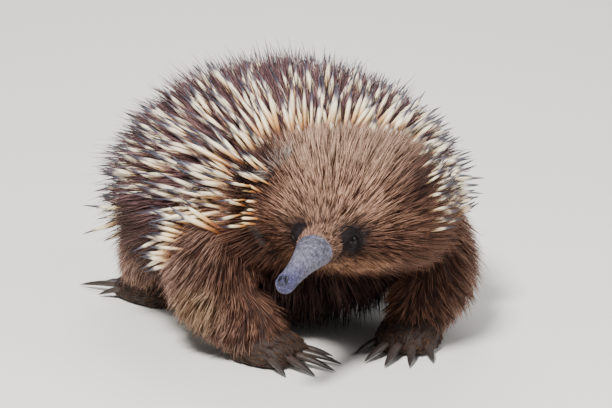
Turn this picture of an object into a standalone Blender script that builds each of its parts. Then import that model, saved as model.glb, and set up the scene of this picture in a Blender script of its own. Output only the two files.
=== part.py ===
"""A short-beaked echidna, life size, standing with its head turned to its right.

Metres, +Z up. The animal faces -Y, its left side is +X, and its soles rest on z = 0.
Every coat-covered part is modelled as the core of its coat. Spines and locks grow out of those cores.
"""

import math
import random

import bmesh
import bpy
from mathutils import Matrix, Vector
from mathutils.bvhtree import BVHTree

UP = Vector((0.0, 0.0, 1.0))
GAP = 0.0003
SEED = 7
FLOOR = 0.0

# Trunk: place along Y, half width, top and bottom of the coat's core.
TRUNK = (
    (0.152, 0.016, 0.072, 0.043),
    (0.140, 0.043, 0.096, 0.032),
    (0.114, 0.070, 0.122, 0.025),
    (0.070, 0.089, 0.140, 0.023),
    (0.020, 0.096, 0.146, 0.023),
    (-0.020, 0.090, 0.144, 0.025),
    (-0.042, 0.077, 0.139, 0.030),
    (-0.055, 0.058, 0.131, 0.040),
    (-0.061, 0.037, 0.119, 0.054),
)
WIDEST_AT = 0.35
TRUNK_SQUARENESS = 2.15
TRUNK_RINGS = 17
TRUNK_SIDES = 24

# Neck and head: distance along the bent axis, half width, top and bottom above the floor.
HEAD_START = Vector((0.0, -0.055, 0.0))
HEAD_TURN = math.radians(38)
TURN_LENGTH = 0.046
HEAD = (
    (-0.016, 0.050, 0.128, 0.060),
    (0.000, 0.061, 0.132, 0.053),
    (0.018, 0.061, 0.132, 0.053),
    (0.034, 0.052, 0.126, 0.058),
    (0.046, 0.0385, 0.116, 0.062),
    (0.055, 0.0250, 0.105, 0.066),
    (0.063, 0.0165, 0.096, 0.069),
    (0.070, 0.0130, 0.0910, 0.0715),
    (0.076, 0.0105, 0.088, 0.073),
)
HEAD_SQUARENESS = 2.2
NECK_END = 0.025

# Beak: distance past the head's axis start, half width, half height, height of its middle.
BEAK_TURN = math.radians(41)
BEAK = (
    (0.064, 0.0118, 0.0098, 0.0828),
    (0.074, 0.0113, 0.0096, 0.0815),
    (0.084, 0.0092, 0.0083, 0.0797),
    (0.096, 0.0074, 0.0070, 0.0772),
    (0.110, 0.0060, 0.0058, 0.0741),
    (0.119, 0.0057, 0.0056, 0.0722),
    (0.1230, 0.0046, 0.0046, 0.0714),
)
NOSTRIL_LENGTH = 0.0024
NOSTRIL_WIDTH = 0.0011
NOSTRIL_SPREAD = 0.0019
MOUTH_LENGTH = 0.010
MOUTH_HEIGHT = 0.0006

EYE_RADIUS = 0.0042
EYE_ALONG = 0.0625
EYE_SPREAD = 0.0160
EYE_HEIGHT = 0.0852
LID_THICKNESS = 0.0016
LID_OPENING = (0.0038, 0.0029, 0.0046)

EAR_ALONG = 0.018
EAR_HEIGHT = 0.086
EAR_SIGHT = (0.100, 0.086)
EAR_TALL = 0.0085
EAR_WIDE = 0.0042
EAR_LIP = 0.0017
EAR_SLIT_RISE = 0.0042
EAR_SLIT_DEPTH = 0.0034

# Legs: points from the shoulder or hip down to the sole, with the half width at each.
FORELEG = (
    ((0.052, -0.020, 0.070), 0.033),
    ((0.066, -0.030, 0.053), 0.032),
    ((0.068, -0.042, 0.036), 0.0275),
    ((0.056, -0.055, 0.022), 0.0230),
    ((0.047, -0.062, 0.012), 0.0200),
)
HINDLEG = (
    ((0.044, 0.060, 0.070), 0.036),
    ((0.062, 0.064, 0.052), 0.035),
    ((0.074, 0.072, 0.036), 0.028),
    ((0.077, 0.083, 0.021), 0.021),
    ((0.076, 0.087, 0.011), 0.0175),
)
ANKLE_CUT = 0.017
CUTTER_WIDTH = 1.0
CUTTER_DEPTH = 0.1
LEG_SIDES = 14
FORE_FOOT = {"heel": (0.051, -0.057), "reach": 0.033, "turn": -38.0, "half_width": 0.0205}
HIND_FOOT = {"heel": (0.072, 0.072), "reach": 0.040, "turn": 158.0, "half_width": 0.0175}
FOOT_RISE = 0.0195

# Claws: length of each from the inner toe out, in order.
FORE_CLAWS = (0.016, 0.022, 0.024, 0.022, 0.015)
HIND_CLAWS = (0.012, 0.032, 0.024, 0.018, 0.011)
CLAW_THICKNESS = 0.0032
CLAW_SPREAD = 58.0

TAIL = (
    ((0.0, 0.130, 0.060), 0.024),
    ((0.0, 0.152, 0.056), 0.020),
    ((0.0, 0.172, 0.049), 0.014),
    ((0.0, 0.186, 0.042), 0.006),
)

# The coat lies back from this point on the face.
FACE = Vector((-0.035, -0.135, 0.090))

# Spines: evenly spread roots, shortest behind the head and longest on the flanks and rump.
SPINE_PLACES = 600
TAIL_SPINE_PLACES = 26
SPINE_SHORT = 0.025
SPINE_LONG = 0.040
SPINE_RADIUS = 0.0018
SPINE_LEAN = math.radians(40)
CROWN_LEAN = math.radians(28)
SPINE_SUNK = 0.004
SPINY_LOW = 0.050
CLEARANCE = 0.0023
SEARCH_STEP = 0.0015

# Locks: flat, pointed, bent tufts of the long coat. Length, half width, half thickness.
FLANK_LOCK = (0.030, 0.0060, 0.0018)
LEG_LOCK = (0.020, 0.0058, 0.0016)
NECK_LOCK = (0.024, 0.0050, 0.0015)
CHEST_LOCK = (0.022, 0.0050, 0.0015)

# Colours, roughness.
LOOKS = {
    "spiny_coat": ((0.16, 0.09, 0.06), 0.85),
    "face_fur": ((0.30, 0.19, 0.13), 0.9),
    "leg_fur": ((0.22, 0.13, 0.09), 0.9),
    "beak_skin": ((0.25, 0.26, 0.31), 0.6),
    "eye": ((0.01, 0.01, 0.012), 0.08),
    "claw": ((0.12, 0.10, 0.09), 0.4),
}


def material(slot):
    """The Principled material of that slot, made once."""
    found = bpy.data.materials.get(slot)
    if found:
        return found
    colour, roughness = LOOKS[slot]
    made = bpy.data.materials.new(slot)
    made.use_nodes = True
    shader = made.node_tree.nodes["Principled BSDF"]
    shader.inputs["Base Color"].default_value = (*colour, 1.0)
    shader.inputs["Roughness"].default_value = roughness
    return made


def solid(name, bm, slot):
    """Closes the bmesh off as a named, smooth-shaded object of that material, in triangles that every cut keeps."""
    bmesh.ops.triangulate(bm, faces=bm.faces)
    bmesh.ops.recalc_face_normals(bm, faces=bm.faces)
    mesh = bpy.data.meshes.new(name)
    bm.to_mesh(mesh)
    bm.free()
    made = bpy.data.objects.new(name, mesh)
    made.data.materials.append(material(slot))
    made.data.shade_smooth()
    bpy.context.scene.collection.objects.link(made)
    return made


def smooth_rows(rows, count):
    """Rows of numbers resampled into count rows along a smooth curve through them."""
    last = len(rows) - 1
    made = []
    for step in range(count):
        place = last * step / (count - 1)
        i = min(int(place), last - 1)
        t = place - i
        before, a, b, after = (rows[max(0, min(last, i + k))] for k in (-1, 0, 1, 2))
        made.append(
            tuple(
                0.5 * (2 * q + (r - p) * t + (2 * p - 5 * q + 4 * r - s) * t**2 + (3 * q - p - 3 * r + s) * t**3)
                for p, q, r, s in zip(before, a, b, after)
            )
        )
    return made


def ring(bm, centre, forward, half_width, rise, drop, sides, squareness, reference=UP):
    """A closed ring of vertices around centre, across forward: rise above it and drop below."""
    side = forward.cross(reference).normalized()
    up = side.cross(forward).normalized()
    power = 2.0 / squareness
    made = []
    for i in range(sides):
        angle = 2 * math.pi * i / sides
        c, s = math.cos(angle), math.sin(angle)
        across = half_width * math.copysign(abs(c) ** power, c)
        tall = (rise if s > 0 else drop) * math.copysign(abs(s) ** power, s)
        made.append(bm.verts.new(centre + side * across + up * tall))
    return made


def skin_rings(bm, rings):
    """Faces between neighbouring rings, and a cap on each end."""
    for a, b in zip(rings, rings[1:]):
        for i in range(len(a)):
            j = (i + 1) % len(a)
            bm.faces.new((a[i], a[j], b[j], b[i]))
    for end in (rings[0], rings[-1]):
        bm.faces.new(end)


def trunk_core():
    """The trunk's coat core, from rump to shoulders."""
    bm = bmesh.new()
    rings = []
    for y, half_width, top, bottom in smooth_rows(TRUNK, TRUNK_RINGS):
        middle = bottom + WIDEST_AT * (top - bottom)
        rings.append(
            ring(bm, Vector((0.0, y, middle)), -Vector((0, 1, 0)), half_width, top - middle, middle - bottom,
                 TRUNK_SIDES, TRUNK_SQUARENESS)
        )
    skin_rings(bm, rings)
    return solid("torso", bm, "spiny_coat")


def head_axis(along):
    """(point on the floor, heading) of the neck and head's axis at that distance along it."""
    steps = 40
    point = HEAD_START.copy()
    for step in range(steps):
        turn = heading_at(along * (step + 0.5) / steps)
        point += turn * (along / steps)
    return point, heading_at(along)


def heading_at(along):
    """The way that the head's axis runs there, turning from straight ahead to the head's own heading."""
    share = max(0.0, min(1.0, along / TURN_LENGTH))
    angle = HEAD_TURN * share * share * (3 - 2 * share)
    return Vector((-math.sin(angle), -math.cos(angle), 0.0))


def head_core():
    """Neck and head in one, down to where the bare beak begins."""
    bm = bmesh.new()
    rings = []
    for along, half_width, top, bottom in smooth_rows(HEAD, 15):
        point, heading = head_axis(along)
        middle = 0.5 * (top + bottom)
        rings.append(
            ring(bm, point + UP * middle, heading, half_width, top - middle, middle - bottom, 24, HEAD_SQUARENESS)
        )
    skin_rings(bm, rings)
    return solid("head", bm, "face_fur")


def beak_heading():
    return Vector((-math.sin(BEAK_TURN), -math.cos(BEAK_TURN), 0.0))


def beak_point(along, height):
    """A point of the beak's axis: it leaves the head's axis at the beak's own root."""
    root, _ = head_axis(BEAK[0][0])
    return root + beak_heading() * (along - BEAK[0][0]) + UP * height


def beak_solid():
    bm = bmesh.new()
    rows = smooth_rows(BEAK, 13)
    centres = [beak_point(along, height) for along, _, _, height in rows]
    rings = []
    for i, (_, half_width, half_height, _) in enumerate(rows):
        forward = (centres[min(i + 1, len(rows) - 1)] - centres[max(i - 1, 0)]).normalized()
        rings.append(ring(bm, centres[i], forward, half_width, half_height, half_height, 18, 2.0))
    skin_rings(bm, rings)
    return solid("beak", bm, "beak_skin")


def ball(name, centre, radii, turn, slot, subdivisions=2):
    """A faceted ellipsoid of those radii, turned by a matrix about its centre."""
    bm = bmesh.new()
    bmesh.ops.create_icosphere(bm, subdivisions=subdivisions, radius=1.0)
    place = Matrix.Translation(centre) @ turn.to_4x4() @ Matrix.Diagonal((*radii, 1.0))
    bmesh.ops.transform(bm, matrix=place, verts=bm.verts)
    return solid(name, bm, slot)


def block(name, place, size):
    """A box cutter of that size, placed by a matrix."""
    bm = bmesh.new()
    bmesh.ops.create_cube(bm, size=1.0)
    bmesh.ops.transform(bm, matrix=place @ Matrix.Diagonal((*size, 1.0)), verts=bm.verts)
    return solid(name, bm, "claw")


def grown(original, by=GAP):
    """A copy whose surface stands that far out from the original's."""
    copy = original.copy()
    copy.data = original.data.copy()
    copy.name = original.name + "_grown"
    bpy.context.scene.collection.objects.link(copy)
    bm = bmesh.new()
    bm.from_mesh(copy.data)
    bm.normal_update()
    for vertex, normal in [(v, v.normal.copy()) for v in bm.verts]:
        vertex.co += normal * by
    bm.to_mesh(copy.data)
    bm.free()
    return copy


def remove(*objects):
    for thing in objects:
        bpy.data.objects.remove(thing)


def boolean(body, others, operation, solver="EXACT"):
    """Joins or cuts body with the other objects in one Boolean, applies it, and removes them."""
    group = bpy.data.collections.new("operands")
    bpy.context.scene.collection.children.link(group)
    for other in others:
        group.objects.link(other)
    step = body.modifiers.new("join", "BOOLEAN")
    step.operation = operation
    step.operand_type = "COLLECTION"
    step.collection = group
    step.solver = solver
    graph = bpy.context.evaluated_depsgraph_get()
    result = bpy.data.meshes.new_from_object(body.evaluated_get(graph))
    body.modifiers.clear()
    body.data = result
    remove(*others)
    bpy.data.collections.remove(group)
    keep_largest(body)
    return body


def keep_largest(body):
    """Keeps only the largest closed surface, which fills sealed hollows and drops loose scraps."""
    bm = bmesh.new()
    bm.from_mesh(body.data)
    bmesh.ops.remove_doubles(bm, verts=bm.verts, dist=1e-6)
    left = set(bm.faces)
    shells = []
    while left:
        shell = {left.pop()}
        edge_of_search = list(shell)
        while edge_of_search:
            face = edge_of_search.pop()
            for edge in face.edges:
                if len(edge.link_faces) != 2:
                    continue
                for other in edge.link_faces:
                    if other in left:
                        left.discard(other)
                        shell.add(other)
                        edge_of_search.append(other)
        shells.append(shell)
    largest = max(shells, key=lambda shell: sum(face.calc_area() for face in shell))
    scraps = [face for shell in shells if shell is not largest for face in shell]
    bmesh.ops.delete(bm, geom=scraps, context="FACES")
    bmesh.ops.delete(bm, geom=[v for v in bm.verts if not v.link_faces], context="VERTS")
    bm.to_mesh(body.data)
    bm.free()
    body.data.shade_smooth()


def mirrored(point, side):
    return Vector((point[0] * side, point[1], point[2]))


def limb(name, rows, side, slot):
    """A leg or tail: an ellipse swept down its points, each with its half width."""
    bm = bmesh.new()
    flat = [(*point, radius) for point, radius in rows]
    smooth = smooth_rows(flat, 9)
    centres = [mirrored(row[:3], side) for row in smooth]
    rings = []
    for i, row in enumerate(smooth):
        forward = (centres[min(i + 1, len(smooth) - 1)] - centres[max(i - 1, 0)]).normalized()
        reference = Vector((0, 1, 0)) if abs(forward.z) > 0.6 else UP
        rings.append(ring(bm, centres[i], forward, row[3], row[3], row[3], LEG_SIDES, 2.0, reference))
    skin_rings(bm, rings)
    return solid(name, bm, slot)


def foot_frame(shape, side):
    """(heel on the floor, heading) of a foot. A turn of 0 points it straight ahead."""
    angle = math.radians(shape["turn"])
    heading = Vector((math.sin(angle) * side, -math.cos(angle), 0.0))
    return mirrored((*shape["heel"], 0.0), side), heading


def foot_solid(name, shape, side):
    """A broad low foot with a flat sole on the floor and a rounded, toed front."""
    heel, heading = foot_frame(shape, side)
    bm = bmesh.new()
    wide, reach = shape["half_width"], shape["reach"]
    rows = (
        (-0.30, 0.50, 0.70),
        (-0.16, 0.84, 0.96),
        (0.20, 1.00, 1.00),
        (0.60, 1.02, 0.80),
        (0.88, 0.86, 0.56),
        (1.00, 0.60, 0.36),
    )
    rings = []
    for along, width, rise in smooth_rows(rows, 9):
        centre = heel + heading * (along * reach) + UP * 0.004
        rings.append(ring(bm, centre, heading, wide * width, FOOT_RISE * rise, 0.008, 16, 2.6))
    skin_rings(bm, rings)
    return solid(name, bm, "leg_fur")


def taper(bm, points, half_sizes, faces_towards, sides):
    """A closed pointed form along points. half_sizes gives (half width, half thickness) at all but its tip."""
    rings = []
    for i, (half_width, half_thickness) in enumerate(half_sizes):
        forward = (points[i + 1] - points[max(i - 1, 0)]).normalized()
        rings.append(ring(bm, points[i], forward, half_width, half_thickness, half_thickness, sides, 2.0, faces_towards))
    tip = bm.verts.new(points[-1])
    for a, b in zip(rings, rings[1:]):
        for i in range(sides):
            j = (i + 1) % sides
            bm.faces.new((a[i], a[j], b[j], b[i]))
    bm.faces.new(rings[0])
    for i in range(sides):
        bm.faces.new((rings[-1][i], rings[-1][(i + 1) % sides], tip))


def claw_points(root, heading, length, curl, floor=0.0012):
    """A claw's middle line: out and down to just above the floor."""
    drop = root.z - floor
    points = []
    for i in range(5):
        t = i / 4
        points.append(root + heading * (length * t) - UP * (drop * (curl * t + (1 - curl) * t * t)))
    return points


def claws(prefix, shape, lengths, side, foot):
    """One claw node for each toe, fanned across the foot's front and set face to face with it."""
    heel, heading = foot_frame(shape, side)
    across = Vector((-heading.y, heading.x, 0.0)) * side
    for toe, length in enumerate(lengths):
        share = toe / (len(lengths) - 1) * 2 - 1
        fan = math.radians(CLAW_SPREAD * 0.5 * share) * side
        way = Matrix.Rotation(fan, 3, "Z") @ heading
        reach = shape["reach"] * (0.86 - 0.22 * share * share)
        root = heel + heading * reach + across * (share * shape["half_width"] * 0.70) + UP * 0.0068
        points = claw_points(root - way * 0.004, way, length + 0.010, 0.15)
        half_sizes = [(CLAW_THICKNESS * k, CLAW_THICKNESS * k * 0.7) for k in (0.85, 0.95, 0.85, 0.60)]
        bm = bmesh.new()
        taper(bm, points, half_sizes, UP, 6)
        claw = solid(f"{prefix}_claw_{toe + 1}", bm, "claw")
        boolean(claw, [grown(foot)], "DIFFERENCE")


def leg_parts(prefix, rows, shape, lengths, side, torso):
    """A leg, its foot and claws, each clear of what it grows from by the gap."""
    label = "left" if side > 0 else "right"
    leg = limb(f"{prefix}leg_{label}", rows, side, "leg_fur")
    fuse(leg, leg_locks(leg, rows, side))
    foot = foot_solid(f"{prefix}foot_{label}", shape, side)
    boolean(leg, [grown(torso)], "DIFFERENCE")
    half = 0.5 * CUTTER_DEPTH
    below = block("below", Matrix.Translation((0, 0, FLOOR - half)), (CUTTER_WIDTH, CUTTER_WIDTH, CUTTER_DEPTH))
    boolean(foot, [below], "DIFFERENCE")
    above = block("above", Matrix.Translation((0, 0, ANKLE_CUT + half)), (CUTTER_WIDTH, CUTTER_WIDTH, CUTTER_DEPTH))
    boolean(foot, [above], "DIFFERENCE")
    under = block("under", Matrix.Translation((0, 0, ANKLE_CUT + GAP - half)), (CUTTER_WIDTH, CUTTER_WIDTH, CUTTER_DEPTH))
    boolean(leg, [under], "DIFFERENCE")
    claws(f"{prefix}foot_{label}", shape, lengths, side, foot)


def across_head(along):
    """(point on the axis's floor line, heading, the head's own left) at that distance."""
    point, heading = head_axis(along)
    return point, heading, Vector((-heading.y, heading.x, 0.0))


def eye_centre(side):
    point, _, left = across_head(EYE_ALONG)
    return point + left * (EYE_SPREAD * side) + UP * EYE_HEIGHT


def head_parts(torso, beak):
    """Neck, head, eyes and ears: the head's core with lids and sockets, parted from the neck by a thin cut."""
    head = head_core()
    _, heading, left = across_head(EYE_ALONG)
    lids, sockets = [], []
    for side, label in ((1, "left"), (-1, "right")):
        centre = eye_centre(side)
        outward = (left * side * 0.86 + heading * 0.46 + UP * 0.12).normalized()
        turn = outward.to_track_quat("Z", "Y").to_matrix()
        ball(f"eye_{label}", centre, (EYE_RADIUS,) * 3, turn, "eye", 3)
        lid = EYE_RADIUS + LID_THICKNESS
        lids.append(ball("lid", centre, (lid, lid, lid * 0.98), turn, "face_fur"))
        hollow = EYE_RADIUS + 1.6 * GAP
        sockets.append(ball("socket", centre, (hollow,) * 3, turn, "eye"))
        opening = ball("opening", centre + outward * EYE_RADIUS, LID_OPENING, turn, "eye")
        sockets.append(opening)
    boolean(beak, [grown(head), *[grown(lid) for lid in lids]], "DIFFERENCE")
    ears(head, torso)
    neck = head.copy()
    neck.data = head.data.copy()
    neck.name = "neck"
    bpy.context.scene.collection.objects.link(neck)
    cut_point, cut_heading = head_axis(NECK_END)
    turn = cut_heading.to_track_quat("Y", "Z").to_matrix().to_4x4()
    half = 0.5 * CUTTER_WIDTH
    back = block("back", Matrix.Translation(cut_point - cut_heading * (half - GAP)) @ turn, (CUTTER_WIDTH,) * 3)
    boolean(head, [back], "DIFFERENCE")
    boolean(head, lids, "UNION")
    boolean(head, sockets, "DIFFERENCE")
    boolean(head, [grown(torso)], "DIFFERENCE")
    front = block("front", Matrix.Translation(cut_point + cut_heading * half) @ turn, (CUTTER_WIDTH,) * 3)
    fuse(neck, neck_locks(neck))
    boolean(neck, [front, grown(torso)], "DIFFERENCE")


def beak_details(beak):
    """Nostril slits on top of the tip, and the mouth's slot at its front."""
    tip = beak_point(BEAK[-1][0], BEAK[-1][3])
    back = beak_point(BEAK[-3][0], BEAK[-3][3])
    forward = (tip - back).normalized()
    left = Vector((-forward.y, forward.x, 0.0)).normalized()
    up = forward.cross(-left).normalized() * -1
    if up.z < 0:
        up = -up
    turn = Matrix((left, forward, up)).transposed()
    cutters = []
    for side in (1, -1):
        centre = tip - forward * 0.0022 + up * 0.0040 + left * (NOSTRIL_SPREAD * side)
        cutters.append(ball("nostril", centre, (NOSTRIL_WIDTH, NOSTRIL_LENGTH, 0.0018), turn, "eye"))
    place = Matrix.Translation(tip - up * 0.0014) @ turn.to_4x4()
    cutters.append(block("mouth", place, (0.03, MOUTH_LENGTH, MOUTH_HEIGHT)))
    boolean(beak, cutters, "DIFFERENCE")


def ears(head, torso):
    """A raised, slit cup on each side of the back of the head, under the hair."""
    point, _, left = across_head(EAR_ALONG)
    tree = BVHTree.FromObject(head, bpy.context.evaluated_depsgraph_get())
    for side, label in ((1, "left"), (-1, "right")):
        start = point + UP * EAR_HEIGHT
        outside = start + left * (side * EAR_SIGHT[0]) + UP * EAR_SIGHT[1]
        hit, normal, _, _ = tree.ray_cast(outside, (start - outside).normalized())
        turn = normal.to_track_quat("Z", "Y").to_matrix()
        ear = ball(f"ear_{label}", hit, (EAR_WIDE, EAR_TALL, EAR_WIDE), turn, "face_fur")
        slit = ball("slit", hit + normal * EAR_SLIT_RISE, (EAR_WIDE - EAR_LIP, EAR_TALL - EAR_LIP, EAR_SLIT_DEPTH), turn, "eye")
        for cutter in (slit, grown(head), grown(torso)):
            boolean(ear, [cutter], "DIFFERENCE")


def tree_of(thing):
    """A search tree over an object's present mesh."""
    bm = bmesh.new()
    bm.from_mesh(thing.data)
    tree = BVHTree.FromBMesh(bm)
    bm.free()
    return tree


def sphere_directions(count):
    """Unit directions spread evenly over a sphere."""
    golden = math.pi * (3 - math.sqrt(5))
    made = []
    for i in range(count):
        z = 1 - 2 * (i + 0.5) / count
        across = math.sqrt(1 - z * z)
        made.append(Vector((across * math.cos(golden * i), across * math.sin(golden * i), z)))
    return made


def coat_places(tree, centre, radii, count):
    """(point, normal) pairs spread evenly over a rounded form with about those radii."""
    found = []
    for way in sphere_directions(count):
        direction = Vector((way.x * radii[0], way.y * radii[1], way.z * radii[2])).normalized()
        hit, normal, _, _ = tree.ray_cast(centre + direction * 0.5, -direction)
        if hit:
            found.append((hit, normal))
    return found


def coat_flow(point, normal, sink=0.22):
    """The way the coat lies there: back from the face and a little down, along the surface."""
    way = (point - FACE).normalized() - UP * sink
    way -= normal * way.dot(normal)
    return way.normalized()


def clear_of(points, trees, distance):
    """True where every place along the points is at least that far from each tree's surface."""
    for a, b in zip(points, points[1:]):
        steps = math.ceil((b - a).length / SEARCH_STEP)
        for step in range(steps + 1):
            place = a.lerp(b, step / steps)
            for tree in trees:
                if tree.find_nearest(place, distance)[0] is not None:
                    return False
    return True


def spine(root, direction, normal, length):
    """One stout, straight spine, thickest at its middle and drawn out to a sharp tip."""
    points = [
        root - direction * SPINE_SUNK,
        root + direction * (length * 0.55),
        root + direction * length,
    ]
    half_sizes = [(SPINE_RADIUS * k, SPINE_RADIUS * k) for k in (0.85, 1.0)]
    bm = bmesh.new()
    taper(bm, points, half_sizes, normal, 3)
    return solid("spine", bm, "spiny_coat"), points


def torso_spines(torso, neighbours):
    """Spines all over the back, flanks and rump, each clear of the other nodes."""
    rng = random.Random(SEED)
    trees = [tree_of(node) for node in neighbours]
    made = []
    for point, normal in coat_places(tree_of(torso), Vector((0, 0.045, 0.075)), (0.096, 0.107, 0.070), SPINE_PLACES):
        chance = [rng.uniform(-1, 1) for _ in range(3)]
        if point.z < SPINY_LOW + 0.004 * chance[0] or normal.z < -0.25:
            continue
        flow = coat_flow(point, normal)
        sideways = normal.cross(flow)
        lean = SPINE_LEAN + (CROWN_LEAN - SPINE_LEAN) * max(0.0, normal.z) + 0.12 * chance[1]
        direction = flow * math.cos(lean) + normal * math.sin(lean) + sideways * (0.16 * chance[2])
        backness = max(0.0, min(1.0, (point.y + 0.05) / 0.12))
        length = SPINE_SHORT + (SPINE_LONG - SPINE_SHORT) * backness
        length *= 1 + 0.10 * chance[0]
        form, points = spine(point, direction.normalized(), normal, length)
        if clear_of([point, *points[1:]], trees, CLEARANCE):
            made.append(form)
        else:
            remove(form)
    return made


def tail_spines(tail, neighbours):
    """A few short spines round the tail's stub."""
    trees = [tree_of(node) for node in neighbours]
    made = []
    for point, normal in coat_places(tree_of(tail), Vector((0, 0.166, 0.052)), (1, 1, 1), TAIL_SPINE_PLACES):
        if normal.y < -0.2:
            continue
        direction = (normal * 0.7 + Vector((0, 0.85, 0.12))).normalized()
        form, points = spine(point, direction, normal, SPINE_SHORT * 0.8)
        if point.y > 0.160 and clear_of([point, *points[1:]], trees, CLEARANCE):
            made.append(form)
        else:
            remove(form)
    return made


def lock(root, normal, flow, sizes, lift, lowest=0.0, droop=0.0):
    """One flat, pointed tuft of long hair: rooted in the surface, lifted off it and bent over along the flow."""
    length, half_width, half_thickness = sizes
    points = [root - normal * 0.0035 - flow * (length * 0.08)]
    for share, rise in ((0.30, 0.55), (0.68, 1.0), (1.0, 0.85)):
        place = root + flow * (length * share) + normal * (lift * rise) - UP * (droop * share * share)
        place.z = max(place.z, lowest)
        points.append(place)
    half_sizes = [(half_thickness * t, half_width * k) for k, t in ((0.85, 1.1), (1.0, 1.0), (0.68, 0.8))]
    bm = bmesh.new()
    taper(bm, points, half_sizes, normal.cross(flow), 3)
    return solid("lock", bm, "leg_fur"), points


def fuse(body, tufts):
    """Fuses the body with its spines and locks in one union."""
    if tufts:
        boolean(body, tufts, "UNION", "MANIFOLD")


def leg_locks(leg, rows, side):
    """Overlapping rows of locks down a leg, pointing down it and back."""
    rng = random.Random(SEED + 1)
    tree = tree_of(leg)
    made = []
    around = 7
    for row, share in enumerate((0.34, 0.52, 0.70)):
        here = smooth_rows([(*point, radius) for point, radius in rows], 101)
        a, b = here[round(share * 100)], here[round(share * 100) + 6]
        axis_point = mirrored(a[:3], side)
        down = (mirrored(b[:3], side) - axis_point).normalized()
        across = down.cross(Vector((0, 1, 0))).normalized()
        ahead = across.cross(down).normalized()
        for k in range(around):
            angle = 2 * math.pi * (k + 0.5 * (row % 2)) / around
            outward = across * math.cos(angle) + ahead * math.sin(angle)
            hit, normal, _, _ = tree.ray_cast(axis_point + outward * 0.2, -outward)
            flow = down * 0.9 + Vector((0, 0.30, 0)) - normal * (down.dot(normal) * 0.9)
            flow -= normal * flow.dot(normal)
            size = (LEG_LOCK[0] * rng.uniform(0.9, 1.1), LEG_LOCK[1], LEG_LOCK[2])
            form, _ = lock(hit, normal, flow.normalized(), size, 0.0030, ANKLE_CUT + 0.004)
            made.append(form)
    return made


def neck_locks(neck):
    """Locks round the throat and cheeks, lying back from the face."""
    tree = tree_of(neck)
    made = []
    for row, along in enumerate((0.019, 0.008)):
        point, heading, left = across_head(along)
        centre = point + UP * 0.090
        count = 11
        for k in range(count):
            angle = math.radians(-205 + 230 * (k + 0.5 * row) / count)
            outward = left * math.cos(angle) + UP * math.sin(angle)
            hit, normal, _, _ = tree.ray_cast(centre + outward * 0.2, -outward)
            if hit is None:
                continue
            flow = -heading + UP * (0.25 * math.sin(angle)) + left * (0.35 * math.cos(angle))
            flow -= normal * flow.dot(normal)
            form, _ = lock(hit, normal, flow.normalized(), NECK_LOCK, 0.0022)
            made.append(form)
    return made


def torso_locks(torso, neighbours):
    """The fringe of long hair along both flanks and the hair hanging from the chest."""
    rng = random.Random(SEED + 2)
    tree = tree_of(torso)
    trees = [tree_of(node) for node in neighbours]
    made = []
    for side in (1, -1):
        for row, height in enumerate((0.044, 0.034)):
            for k in range(15):
                y = -0.040 + 0.0125 * (k + 0.5 * row)
                hit, normal, _, _ = tree.ray_cast(Vector((0.2 * side, y, height)), Vector((-side, 0, 0)))
                if hit is None:
                    continue
                flow = Vector((0.25 * side, 0.55, -0.75))
                flow -= normal * flow.dot(normal)
                length = FLANK_LOCK[0] * rng.uniform(0.85, 1.1)
                size = (length, FLANK_LOCK[1], FLANK_LOCK[2])
                form, points = lock(hit, normal, flow.normalized(), size, 0.007, 0.004)
                if clear_of([hit, *points[1:]], trees, CLEARANCE + FLANK_LOCK[1] * 0.7):
                    made.append(form)
                else:
                    remove(form)
    for row, y in enumerate((-0.050, -0.038, -0.026)):
        for k in range(6):
            x = 0.011 * (k - 2.5 + 0.5 * (row % 2)) + rng.uniform(-0.002, 0.002)
            hit, normal, _, _ = tree.ray_cast(Vector((x, y + rng.uniform(-0.003, 0.003), -0.1)), UP)
            flow = Vector((5.0 * x, 1.0, 0.0))
            flow -= normal * flow.dot(normal)
            form, points = lock(hit, normal, flow.normalized(), CHEST_LOCK, 0.0035, 0.004, 0.002)
            if clear_of([hit, *points[1:]], trees, CLEARANCE + CHEST_LOCK[1] * 0.7):
                made.append(form)
            else:
                remove(form)
    return made


def centre_on_origin():
    """Moves every mesh so that the whole stands centred on the origin, with its soles at z = 0."""
    corners = [v.co for thing in bpy.data.objects for v in thing.data.vertices]
    low = Vector(tuple(min(c[i] for c in corners) for i in range(3)))
    high = Vector(tuple(max(c[i] for c in corners) for i in range(3)))
    middle = (low + high) / 2
    for thing in bpy.data.objects:
        thing.data.transform(Matrix.Translation((-middle.x, -middle.y, 0.0)))


def main():
    remove(*bpy.data.objects)
    torso = trunk_core()
    beak = beak_solid()
    head_parts(torso, beak)
    beak_details(beak)
    tail = limb("tail", TAIL, 1, "spiny_coat")
    boolean(tail, [grown(torso)], "DIFFERENCE")
    for side in (1, -1):
        leg_parts("fore", FORELEG, FORE_FOOT, FORE_CLAWS, side, torso)
        leg_parts("hind", HINDLEG, HIND_FOOT, HIND_CLAWS, side, torso)
    others = [thing for thing in bpy.data.objects if thing not in (torso, tail)]
    fuse(tail, tail_spines(tail, [torso, *others]))
    others.append(tail)
    fuse(torso, torso_locks(torso, others) + torso_spines(torso, others))
    centre_on_origin()


main()
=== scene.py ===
"""How the echidna looks: skin, fur, spines, beak, eyes, ears and claws, with the floor and the light.

Metres, +Z up, the body facing -Y. The forms are set out about the part's own start point,
and every finished mesh is then moved by one shift, found from the part's eyes.
"""

import math

import bmesh
import bpy
import numpy as np
from mathutils import Matrix, Vector
from mathutils.bvhtree import BVHTree
from mathutils.kdtree import KDTree


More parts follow.
